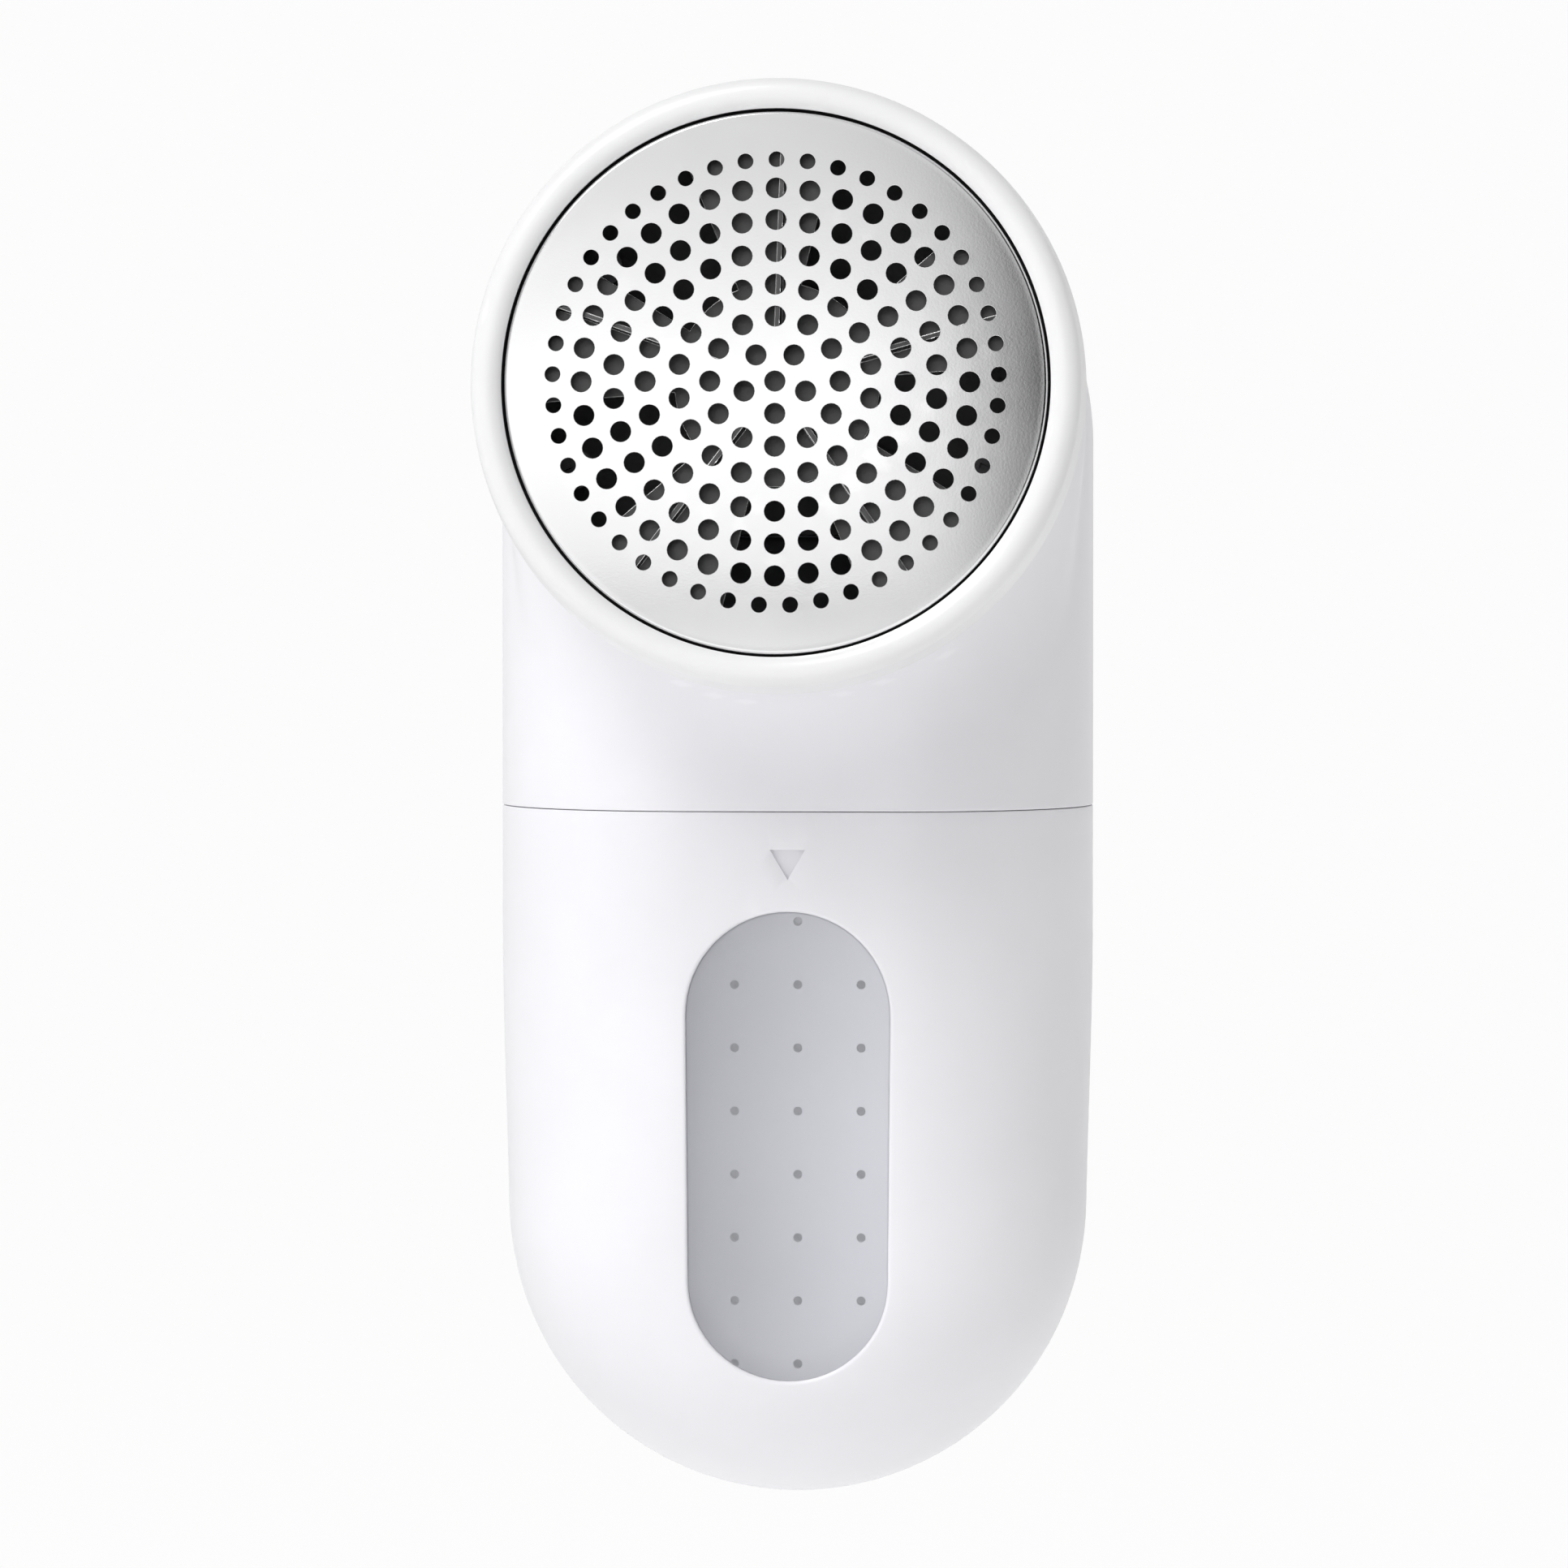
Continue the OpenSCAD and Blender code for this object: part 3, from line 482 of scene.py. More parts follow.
def plastic(name, color, rough, grain=2600, grain_depth=0.02, coat=0.0, spread=0.025, metal=0.0,
            gloss_spread=0.06, aniso=0.0, transmission=0.0, specular=0.5, painted_glow=None):
    """Moulded, ground or rubbed surface: colour drifting in patches, fine grain, uneven gloss, worn edges.

    Given levels for the window's left and right, front faces glow with painted light: an emission rising from
    the left to the right, standing in for the light inside the bin seen through the window, darker at the
    left."""
    m = Nodes(bpy.data.materials.new(name))
    drift = m.noise(PATCH_SCALE, 4.0, 0.55)
    fine = m.noise(grain, 2.0, 0.6)
    smear = m.noise(SMEAR_SCALE, 5.0, 0.62)
    geo = m.add("ShaderNodeNewGeometry")
    worn = m.remap(geo.outputs["Pointiness"], *EDGE_TURN, 0.0, 1.0)
    patch = m.remap(drift, *NOISE_RANGE, 0.0, 1.0)
    base = m.mix_color(patch, tint(color, 1 - spread), tint(color, 1 + spread))
    base = m.mix_color(m.math("MULTIPLY", worn, EDGE_SHARE, True), base, tint(color, EDGE_LIGHTER))
    gloss = m.remap(smear, 0.25, 0.75, rough - gloss_spread, rough + gloss_spread)
    gloss = m.math("ADD", gloss, m.math("MULTIPLY", worn, -EDGE_SMOOTHER), True)
    bump = m.add("ShaderNodeBump", Strength=grain_depth, Distance=GRAIN_HEIGHT, Height=fine)
    b = m.add("ShaderNodeBsdfPrincipled", Base_Color=base, Roughness=gloss, Metallic=metal,
              Specular_IOR_Level=specular, Coat_Weight=coat, Coat_Roughness=COAT_ROUGH, Anisotropic=aniso,
              Transmission_Weight=transmission, Normal=bump.outputs[0])
    # painted light: front faces glow, dim at the left and brighter at the right
    if painted_glow:
        faces_front = m.math("LESS_THAN", m.parts(geo.outputs["Normal"])[1], -0.9)
        m.put(b, "Emission Color", tint(color, 1.0))
        m.put(b, "Emission Strength", m.math("MULTIPLY", m.across_window(*painted_glow), faces_front))
    return m.finish(b.outputs[0])


def blade_material():
    """Dark rolled steel with bright honed edges."""
    m = Nodes(bpy.data.materials.new("blade_steel"))
    honed_width, honed_turn = 0.00016, (0.985, 0.93)
    rounded = m.add("ShaderNodeBevel", {"samples": 8}, Radius=honed_width).outputs[0]
    across = m.add("ShaderNodeVectorMath", {"operation": "DOT_PRODUCT"})
    m.put(across, 0, rounded)
    m.put(across, 1, m.add("ShaderNodeNewGeometry").outputs["Normal"])
    honed = m.remap(across.outputs["Value"], *honed_turn, 0.0, 1.0)
    drift = m.noise(260, 4.0, 0.6)
    dark = m.ramp(drift, ((0.3, 0.085), (0.7, 0.11)))
    bump = m.add("ShaderNodeBump", Strength=0.08, Distance=GRAIN_HEIGHT, Height=m.noise(1800), Normal=rounded)
    b = m.add("ShaderNodeBsdfPrincipled", Base_Color=m.mix_color(honed, dark, (0.9, 0.9, 0.9, 1)),
              Roughness=m.remap(drift, *NOISE_RANGE, 0.28, 0.36), Metallic=1.0, Normal=bump.outputs[0])
    return m.finish(b.outputs[0])


def window_material():
    """Clear pane with a little haze in it: tinted see-through, a soft haze whose slight rise toward the right
    is painted shade, and a glossy face.
    """
    m = Nodes(bpy.data.materials.new("clear_window"))
    cloud = m.noise(60, 4.0)
    tinted = m.mix_color(cloud, (0.93, 0.935, 0.955, 1), (0.96, 0.963, 0.975, 1))
    clear = m.add("ShaderNodeBsdfTransparent", Color=tinted).outputs[0]
    haze = m.add("ShaderNodeBsdfDiffuse", Color=(0.80, 0.805, 0.84, 1)).outputs[0]
    # the pane's own haze, a little thicker at the right: painted shade that leaves the left darker
    milk_and_painted_shade = m.math("ADD", m.across_window(0.25, 0.27), m.remap(cloud, *NOISE_RANGE, -0.02, 0.02))
    bump = m.add("ShaderNodeBump", Strength=0.015, Distance=GRAIN_HEIGHT, Height=m.noise(1500))
    gloss = m.add("ShaderNodeBsdfGlossy", Roughness=m.remap(cloud, *NOISE_RANGE, 0.12, 0.22),
                  Normal=bump.outputs[0]).outputs[0]
    fresnel = m.add("ShaderNodeFresnel", IOR=1.35).outputs[0]
    return m.finish(m.mix(fresnel, m.mix(milk_and_painted_shade, clear, haze), gloss))


FINISHES = {
    "white_shell": dict(color=(0.868, 0.864, 0.895), rough=0.34, coat=0.12, specular=0.42),
    "ring_white": dict(color=(0.845, 0.845, 0.85), rough=0.34, coat=0.15, specular=0.42),
    "button_white": dict(color=(0.84, 0.845, 0.85), rough=0.38, coat=0.1),
    "foil_steel": dict(color=(0.86, 0.86, 0.865), rough=0.15, metal=1.0, grain=4200, grain_depth=0.014,
                       spread=0.01, gloss_spread=0.03, aniso=0.3),
    "black_screw": dict(color=(0.10, 0.10, 0.105), rough=0.35, metal=1.0, grain=2000, grain_depth=0.05),
    "spring_steel": dict(color=(0.55, 0.55, 0.56), rough=0.25, metal=1.0, grain=2400),
    "ground_steel": dict(color=(0.66, 0.66, 0.68), rough=0.16, metal=1.0, grain=3000, grain_depth=0.04),
    "screw_steel": dict(color=(0.62, 0.62, 0.64), rough=0.24, metal=1.0, grain=2000, grain_depth=0.05),
    "nickel": dict(color=(0.66, 0.65, 0.62), rough=0.28, metal=1.0, grain=2200),
    "zinc_steel": dict(color=(0.60, 0.61, 0.62), rough=0.34, metal=1.0, grain=900, spread=0.08),
    "aluminium_plate": dict(color=(0.72, 0.73, 0.74), rough=0.38, metal=1.0, grain=1200),
    "armature": dict(color=(0.40, 0.24, 0.14), rough=0.4, metal=0.8, grain=700, spread=0.12),
    "ferrite": dict(color=(0.06, 0.06, 0.065), rough=0.6, grain=600, grain_depth=0.1, spread=0.1),
    "brass_tab": dict(color=(0.72, 0.55, 0.24), rough=0.3, metal=1.0),
    # painted shade: near-black finish for the faces in the gap round the foil, standing in for its shadow
    "painted_gap_shade": dict(color=(0.02, 0.02, 0.022), rough=0.6, grain_depth=0.06, specular=0.2),
    "chamber_grey": dict(color=(0.07, 0.07, 0.072), rough=0.55, grain=1500, grain_depth=0.05),
    "grey_plastic": dict(color=(0.50, 0.51, 0.52), rough=0.5, grain=1500, grain_depth=0.05),
    # pale grey front faces glow with painted light, dim at the left and brighter at the right
    "pale_grey": dict(color=(0.86, 0.86, 0.875), rough=0.5, grain=1500, grain_depth=0.04,
                      painted_glow=(0.06, 0.5)),
    "dark_plastic": dict(color=(0.045, 0.046, 0.05), rough=0.45, grain=1500, grain_depth=0.06, spread=0.08),
    "natural_nylon": dict(color=(0.78, 0.76, 0.70), rough=0.48, grain=1300),
    "felt": dict(color=(0.05, 0.05, 0.052), rough=0.95, grain=1400, grain_depth=0.6, spread=0.15),
    "cell_wrap": dict(color=(0.05, 0.22, 0.42), rough=0.25, coat=0.3, grain=700),
    "board_green": dict(color=(0.02, 0.16, 0.07), rough=0.35, coat=0.3, grain=500, spread=0.15),
    "wire_sleeve": dict(color=(0.42, 0.03, 0.025), rough=0.42, grain=900),
    "light_pipe": dict(color=(0.86, 0.88, 0.86), rough=0.35, transmission=0.5),
}
MAT = {name: plastic(name, **finish) for name, finish in FINISHES.items()}
MAT["clear_window"] = window_material()
MAT["blade_steel"] = blade_material()

# CAD nodes take the record's finish, apart from what is seen dark through the foil
FINISH_OF = {part["node"]: part["material_slot"] for part in frame["record"]["subparts"]}
FINISH_OF.update(foil_retainer="chamber_grey", cutter_chamber="chamber_grey", lint_duct="chamber_grey",
                 chamber_screws="black_screw")
for name, obj in NODES.items():
    obj.data.materials.clear()
    obj.data.materials.append(MAT[FINISH_OF[name]])


# ---- lint bin and its window ----------------------------
SEAM_ROUND, RIM_ROUND = 0.12, 0.34  # rounding of a joint's edge and of the window's rim
SKIN_STEP = 1.45                    # triangles of the handle's skins
ARROW_HW, ARROW_TOP, ARROW_H, ARROW_DEPTH = 1.72, 64.05, 2.9, 0.6


def bin_outline(r, inset):
    """Edge of the bin's unrolled skin, drawn in by inset."""
    reach = rim_reach(r, BIN_REAR, -1) - inset
    top = BIN_TOP - inset
    round_end, upright, level = 110, 40, 60  # points of each stretch
    up = np.linspace(LOW, top, upright, endpoint=False)
    right = np.stack([np.full(upright, reach), up], 1)
    left = right[::-1] * (-1, 1) + (0, (top - LOW) / upright)
    across = np.stack([np.linspace(reach, -reach, level, endpoint=False), np.full(level, top)], 1)
    return np.concatenate([arc(0, LOW, reach, 180, 360, round_end), right, across, left])


def arrow_outline(grow, n=8):
    """Downward triangle grown evenly outward."""
    slope = math.hypot(ARROW_H, ARROW_HW)
    side = grow * (slope + ARROW_HW) / ARROW_H
    tip = grow * slope / ARROW_HW
    corners = [(-ARROW_HW - side, ARROW_TOP + grow), (0, ARROW_TOP - ARROW_H - tip),
               (ARROW_HW + side, ARROW_TOP + grow)]
    return np.concatenate([np.linspace(p, q, n, endpoint=False)
                           for p, q in zip(corners, corners[1:] + corners[:1])])


def lint_bin():
    """Cup with a window opening and an arrow pressed into its face."""
    s = Solid()
    r, r_in = EDGE_R, EDGE_R - WALL
    hole = stadium(WINDOW_W, *WINDOW_Z)
    grown = stadium(WINDOW_W + 2 * RIM_ROUND, WINDOW_Z[0] - RIM_ROUND, WINDOW_Z[1] + RIM_ROUND)
    arrow_round = 0.05
    q, faces, loops = flat_mesh(bin_outline(r, SEAM_ROUND), [unroll(grown, r), arrow_outline(arrow_round)],
                                SKIN_STEP)
    outer, normal = wrap(q, r, -1)
    edge_out = wrap(bin_outline(r, 0), r, -1)[0]
    edge_in = wrap(bin_outline(r_in, 0), r_in, -1)[0]
    a, b = shell(s, outer, normal, outer - WALL * normal, faces, [
        (loops[0], edge_out, edge_in, SEAM_ROUND),
        (loops[1], straight_back(hole, r), straight_back(hole, r_in), RIM_ROUND)])
    pocket = straight_back(arrow_outline(0), r)
    rim = [a[i] for i in loops[2]]
    for drop in (arrow_round * 0.5, ARROW_DEPTH):
        row = s.add(pocket + (0, drop, 0))
        s.strip(rim, row)
        rim = row
    s.faces.append(tuple(rim))
    s.faces.append(tuple(b[i] for i in loops[2]))
    return s.build("lint_bin_skin", "white_shell", "bin", "lint_bin", draw_in)


def window_pane():
    """Clear pane set just below the bin's face, with a flange behind the wall."""
    s = Solid()
    recess, side_play, seat_play, bevel, flange_round, depth = 0.34, 0.05, 0.03, 0.12, 0.3, 1.0
    r_face, r_seat, r_back = EDGE_R - recess, EDGE_R - WALL - seat_play, EDGE_R - WALL - depth
    front_step, back_step = 1.5, 2.0

    def slot(grow):
        return stadium(WINDOW_W + 2 * grow, WINDOW_Z[0] - grow, WINDOW_Z[1] + grow)

    def pane_face(grow, r, step):
        q, faces, loops = flat_mesh(unroll(slot(grow), r), [], step)
        a = s.add(wrap(q, r, -1)[0])
        s.faces += [tuple(a[i] for i in f) for f in faces]
        return [a[i] for i in loops[0]]

    rim = pane_face(-side_play - bevel, r_face, front_step)
    for grow, r in ((-side_play, r_face - bevel), (-side_play, r_seat),
                    (PANE_LIP, r_seat), (PANE_LIP, r_back)):
        row = s.add(straight_back(slot(grow), r))
        s.strip(rim, row)
        rim = row
    s.strip(rim, pane_face(PANE_LIP - flange_round, r_back, back_step))
    return s.build("window_pane", "clear_window", "bin", "bin_window", draw_in)


# ---- rear shell -----------------------------------------
POST_R, POST_BORE = 2.4, 0.95                 # screw posts
POST_X = 21.5
REAR_POST_Z, FRONT_POST_Z = (30, 62), 80
REAR_POST_GAP, REAR_POST_L = 2.6, 7.8         # the inner frame and its bosses stand in the gap
FRONT_POST_Y = -12.2
INTO_WALL = 0.4                               # how far an inner part reaches into the wall
NOTCH_X, NOTCH_Y = (12.2, 17.8), 4.7          # clear the bin's rails
# Holes in the back: radius, piece in it, rounding of its edge, points
HOLES = ((6.1, "power_button", 0.4, 64), (1.25, "led_lens", 0.2, 28))
PORT_PLAY, PORT_ROUND = 0.12, 0.3
CELL_RIB_X, CELL_RIB_Y, CELL_RIB_Z, CELL_RIB_T = (7.3, 10.5), 7, (28, 60), 1.6
BOARD_GUIDE_X, BOARD_GUIDE_HW, BOARD_GUIDE_Y, BOARD_GUIDE_Z = 6.5, 1, (11.75, 16.2), (12, 14.5)
TOP_HOOK = ((-6, -1.5, 127.6), (6, 6, 129.4))  # tongue that reaches into the front shell


def rear_outline(r, inset):
    """Edge of the rear shell, with two notches that clear the bin's rails."""
    reach = rim_reach(r, SPLIT_Y, 1) - inset
    deep = rim_reach(r, NOTCH_Y, 1) - inset
    x0, x1 = NOTCH_X
    rim_radius = FLAT + r * math.sin((rim_reach(r, SPLIT_Y, 1) - FLAT) / r)
    a0 = math.degrees(math.asin(x0 / rim_radius) - inset / reach)
    a1 = math.degrees(math.asin(x1 / rim_radius) + inset / reach)
    stretches = ((reach, 180, 270 - a1, 40), (deep, 270 - a1, 270 - a0, 8), (reach, 270 - a0, 270 + a0, 30),
                 (deep, 270 + a0, 270 + a1, 8), (reach, 270 + a1, 360, 40))  # radius, angles, points
    low = [arc(0, LOW, *stretch, True) for stretch in stretches]
    up = np.linspace(LOW, HIGH, 60)[1:-1]
    right = np.stack([np.full(len(up), reach), up], 1)
    return np.concatenate([*low, right, arc(0, HIGH, reach, 0, 180, 100, True), right[::-1] * (-1, 1)])


def port_outline(r, grow, n=16):
    """The charging slot's rounded outline in the lower end, unrolled."""
    (x0, x1), (y0, y1) = span("usb_port", 0), span("usb_port", 1)
    half, y = (x1 - x0 - (y1 - y0)) / 2, (y0 + y1) / 2 - SEAT_Y
    rad = (y1 - y0) / 2 + grow
    pts = np.concatenate([arc(half, y, rad, -90, 90, n, True), arc(-half, y, rad, 90, 270, n, True)])
    return bottom_point(pts, r)


def joint_lip(s):
    """Thin lip inside the rear shell's wall that closes the view through the joint with the bin."""
    bite, thickness, spare, below_seam, behind = 0.06, 0.25, 2.0, 0.8, 0.4
    outside = FLAT + math.sqrt((EDGE_R - WALL) ** 2 - SPLIT_Y ** 2) + bite
    inside = outside - thickness
    front, back = SPLIT_Y - SEAM_CLOSE, SPLIT_Y + behind
    a0, a1 = (math.degrees(math.asin(x / outside)) for x in NOTCH_X)

    def side_path(reach, side):
        up = np.linspace(SEAM_Z - below_seam, LOW, 30)[:-1]
        bend = arc(0, LOW, reach, 180, 270 - a1 - spare, 30, True)
        return np.concatenate([np.stack([np.full(len(up), -reach), up], 1), bend]) * (side, 1)

    def middle_path(reach):
        return arc(0, LOW, reach, 270 - a0 + spare, 270 + a0 - spare, 20, True)

    for path in (lambda reach: side_path(reach, 1), lambda reach: side_path(reach, -1), middle_path):
        rows = []
        for reach, y in ((outside, front), (outside, back), (inside, back), (inside, front)):
            xz = path(reach)
            rows.append(s.add(np.column_stack([xz[:, 0], np.full(len(xz), y), xz[:, 1]])))
        s.bar(rows)


def rear_inside(s):
    """Screw posts, ribs beside the cell, guides for the charging board and the tongue at the top."""
    for side in (-1, 1):
        for z in REAR_POST_Z:
            s.post((side * POST_X, SPLIT_Y + REAR_POST_GAP, z), (0, 1, 0), REAR_POST_L)
    for z in CELL_RIB_Z:
        for side in (-1, 1):
            x0, x1 = sorted(side * x for x in CELL_RIB_X)
            s.box((x0, CELL_RIB_Y, z), (x1, EDGE_R - WALL + INTO_WALL, z + CELL_RIB_T))
    for side in (-1, 1):
        x0, x1 = side * BOARD_GUIDE_X - BOARD_GUIDE_HW, side * BOARD_GUIDE_X + BOARD_GUIDE_HW
        s.box((x0, BOARD_GUIDE_Y[0], BOARD_GUIDE_Z[0]), (x1, BOARD_GUIDE_Y[1], BOARD_GUIDE_Z[1]))
    s.box(*TOP_HOOK)
    joint_lip(s)


def rear_shell():
    """Back half of the handle, with holes for the button, the light and the charging port."""
    s = Solid()
    r, r_in = EDGE_R, EDGE_R - WALL

    def hole_edge(hole, grow=0.0):
        radius, node, _, n = hole
        return arc(0, sum(span(node, 2)) / 2, radius + grow, 0, 360, n)

    def on_skins(outline):
        return [wrap(outline(radius), radius, 1)[0] for radius in (r, r_in)]

    holes = [hole_edge(hole, hole[2]) for hole in HOLES]
    port = port_outline(r, PORT_PLAY + PORT_ROUND)
    q, faces, loops = flat_mesh(rear_outline(r, SEAM_ROUND), [*holes, port], SKIN_STEP)
    outer, normal = wrap(q, r, 1)
    rims = [(loops[0], *on_skins(lambda radius: rear_outline(radius, 0)), SEAM_ROUND)]
    for loop, hole in zip(loops[1:], HOLES):
        edge = hole_edge(hole)
        rims.append((loop, straight_back(edge, r, 1), straight_back(edge, r_in, 1), hole[2]))
    rims.append((loops[-1], *on_skins(lambda radius: port_outline(radius, PORT_PLAY)), PORT_ROUND))
    shell(s, outer, normal, outer - WALL * normal, faces, rims)
    rear_inside(s)
    return s.build("rear_shell_skin", "white_shell", "handle", "rear_shell", draw_in)


# ---- front shell: the handle's front and the head's barrel in one moulding ----
BARREL_ROOT_S, BARREL_ROOT_R, BARREL_R = 4.0, 25.9, 27.6
NECK_BLEND, NECK_FRONT_Y, NECK_FADE = 10.0, -2, 10  # size of the neck's hollow, and where it fades in
FLOOR_T = 2.0
DUCT_HW, DUCT_Y = 10.15, (-16.75, -1.85)
BRACKET_S = 22.6                                    # back of the motor's bracket
CHAMBER_POST_R, CHAMBER_POST_ANGLES = 21.3, (35, 145, 200, 340)
CHAMBER_POST_S, CHAMBER_POST_L = BRACKET_S - 6, 5.9
LEDGE_R, LEDGE_S, LEDGE_TURN = (23.0, 25.9), (BRACKET_S - 1.7, BRACKET_S - 0.05), (-35, 215)


def pill_field(p):
    x, y, z = p[..., 0], p[..., 1], p[..., 2]
    out = np.hypot(x, z - np.clip(z, LOW, HIGH)) - FLAT
    return np.where(out > 0, np.hypot(np.maximum(out, 0), y), np.abs(y)) - EDGE_R


def barrel_field(p):
    rel = p - np.array([0, 0, HEAD_Z])
    s = rel @ HEAD_AXIS
    radial = np.sqrt(np.maximum((rel ** 2).sum(-1) - s ** 2, 0))
    slope = (BARREL_R - BARREL_ROOT_R) / (BARREL_S - BARREL_ROOT_S)
    return radial - (BARREL_ROOT_R + slope * (s - BARREL_ROOT_S))


def body_field(p):
    """Distance-like field of the handle and the barrel with a soft hollow between them."""
    a, b = pill_field(p), barrel_field(p)
    k = 1e-3 + NECK_BLEND * smooth((NECK_FRONT_Y - p[..., 1]) / NECK_FADE)
    h = np.maximum(k - np.abs(a - b), 0) / k
    return np.minimum(a, b) - h * h * k / 4


def field_normal(p, e=0.02):
    g = np.stack([body_field(p + e * d) - body_field(p - e * d) for d in np.eye(3)], -1)
    return g / np.linalg.norm(g, axis=-1, keepdims=True)


def front_skin(planes=110, around=220):
    """Open skin swept from the bin's joint line round to the barrel's front."""
    low_z, front_s = SEAM_Z - SEAM_CLOSE + SEAM_ROUND, BARREL_S - SEAM_ROUND
    bow, reach_limit, halvings = 6, 75.0, 40
    pivot_y = (front_s - (low_z - HEAD_Z) * HEAD_AXIS[2]) / HEAD_AXIS[1]
    sweep = math.acos(HEAD_UP[1])
    turn = np.linspace(0, 1, planes)
    end = math.hypot(pivot_y - (HEAD_AXIS * front_s)[1], low_z - (HEAD_Z + (HEAD_AXIS * front_s)[2]))
    start = -pivot_y
    centre = start + (end - start) * turn + bow * np.sin(math.pi * turn)
    a = (sweep * turn)[:, None]
    t = np.linspace(0, 2 * math.pi, around, endpoint=False)[None, :]

    def at(reach):
        x = reach * np.cos(t)
        rho = centre[:, None] + reach * np.sin(t)
        return np.stack([x, pivot_y + rho * np.cos(a), low_z + rho * np.sin(a)], -1)

    near, far = np.zeros((planes, around)), np.full((planes, around), reach_limit)
    for _ in range(halvings):
        mid = (near + far) / 2
        inside = body_field(at(mid)) < 0
        near, far = np.where(inside, mid, near), np.where(inside, far, mid)
    return at(near)


def cut_skin(grid, cut_y):
    """The skin in front of the joint with the rear shell: points, faces and open edges."""
    planes, around = grid.shape[:2]
    bm = bmesh.new()
    verts = [[bm.verts.new(p) for p in row] for row in grid]
    for i in range(planes - 1):
        for j in range(around):
            k = (j + 1) % around
            bm.faces.new((verts[i][j], verts[i][k], verts[i + 1][k], verts[i + 1][j]))
    bmesh.ops.bisect_plane(bm, geom=bm.verts[:] + bm.edges[:] + bm.faces[:], plane_co=(0, cut_y, 0),
                           plane_no=(0, 1, 0), clear_outer=True, dist=1e-4)
    bmesh.ops.dissolve_degenerate(bm, dist=0.02, edges=bm.edges[:])
    bm.verts.ensure_lookup_table()
    bm.verts.index_update()
    points = np.array([tuple(v.co) for v in bm.verts])
    faces = [[v.index for v in f.verts] for f in bm.faces]
    open_edges = [(e.verts[0].index, e.verts[1].index) for e in bm.edges if len(e.link_faces) == 1]
    bm.free()
    return points, faces, open_edges


def shell_floor(s):
    """Plate across the lower end, with the mouth of the lint duct."""
    past_middle, lift = 5, 0.03
    side = arc(FLAT, 0, EDGE_R - WALL + INTO_WALL, -90, past_middle, 24, True)
    outline = np.concatenate([side, (side * (-1, 1))[::-1]])
    (y0, y1), w = DUCT_Y, DUCT_HW
    hole = [(-w, y0), (w, y0), (w, y1), (-w, y1)]
    edge_step, fill_step = 2.0, 2.5
    q, faces, loops = flat_mesh(dense(outline, edge_step), [dense(hole, edge_step)], fill_step)
    low, high = (np.column_stack([q, np.full(len(q), z)]) for z in (SEAM_Z + lift, SEAM_Z + FLOOR_T))
    skins = s.skins(low, high, faces)
    for loop in loops:
        s.strip(*([skin[i] for i in loop] for skin in skins))


def shell_inside(s):
    """Posts for the screws and the ledge that the motor bracket stands on."""
    for side in (-1, 1):
        s.post((side * POST_X, FRONT_POST_Y, FRONT_POST_Z), (0, 1, 0), SPLIT_Y - FRONT_POST_Y)
    a = np.radians(CHAMBER_POST_ANGLES)
    for x, up in zip(CHAMBER_POST_R * np.cos(a), CHAMBER_POST_R * np.sin(a)):
        s.post(head_point(x, up, CHAMBER_POST_S), HEAD_AXIS, CHAMBER_POST_L)
    (inner_r, outer_r), (back, front) = LEDGE_R, LEDGE_S
    s.head_bar(((inner_r, back), (outer_r, back), (outer_r, front), (inner_r, front)),
               np.radians(np.linspace(*LEDGE_TURN, 120)))


def front_shell(round_steps=4):
    """The skin thickened to a wall with rounded open edges, and what stands inside it."""
    cut_y = SPLIT_Y - SEAM_ROUND
    outer, faces, open_edges = cut_skin(front_skin(), cut_y)
    normal = field_normal(outer)
    rim = sorted({i for e in open_edges for i in e})
    order = {v: i for i, v in enumerate(rim)}
    p, n = outer[rim], normal[rim]
    near = 0.05  # a point this near a joint's plane is on its edge
    out = np.zeros_like(p)
    out += ((p - (0, 0, HEAD_Z)) @ HEAD_AXIS > BARREL_S - SEAM_ROUND - near)[:, None] * HEAD_AXIS
    out += (p[:, 1] > cut_y - near)[:, None] * np.array([0, 1.0, 0])
    out += (p[:, 2] < SEAM_Z - SEAM_CLOSE + SEAM_ROUND + near)[:, None] * np.array([0, 0, -1.0])
    inner = outer - WALL * normal
    inner[rim] += SEAM_ROUND * out
    s = Solid()
    a, b = s.skins(outer, inner, faces)
    rows = [[a[i] for i in rim]]
    for k in range(1, round_steps + 1):
        t = math.pi / 2 * k / round_steps
        rows.append(s.add(p + SEAM_ROUND * (out * math.sin(t) - n * (1 - math.cos(t)))))
    rows.append([b[i] for i in rim])
    for u, v in open_edges:
        for q, w in zip(rows, rows[1:]):
            s.faces.append((q[order[u]], q[order[v]], w[order[v]], w[order[u]]))
    shell_floor(s)
    shell_inside(s)
    return s.build("front_shell_skin", "white_shell", "handle", "front_shell")


# ---- head: ring, foil and spring ------------------------
RING_IN_R = 27.0
RING_CROWN = 0.3                                              # the flank's fall toward the bead
RING_HEEL, HEEL_ROUND = 0.7, 0.3                              # narrower rear edge and its rounding
TAB_R, TAB_S, TAB_HALF_TURN = (25.6, 27.2), (32.4, 33.8), 10  # three bayonet tabs inside
BEAD_R = 1.55
BEAD_C = RING_R - RING_CROWN - BEAD_R
BEAD_S = BARREL_S + 9.25
LIP_R = BEAD_C - BEAD_R + 0.18                                # the ring's opening round the foil
FLANGE_S = BEAD_S - 1.05
FOIL_EDGE_S = BEAD_S + 0.35
FOIL_RISE, FOIL_T = 1.8, 0.3


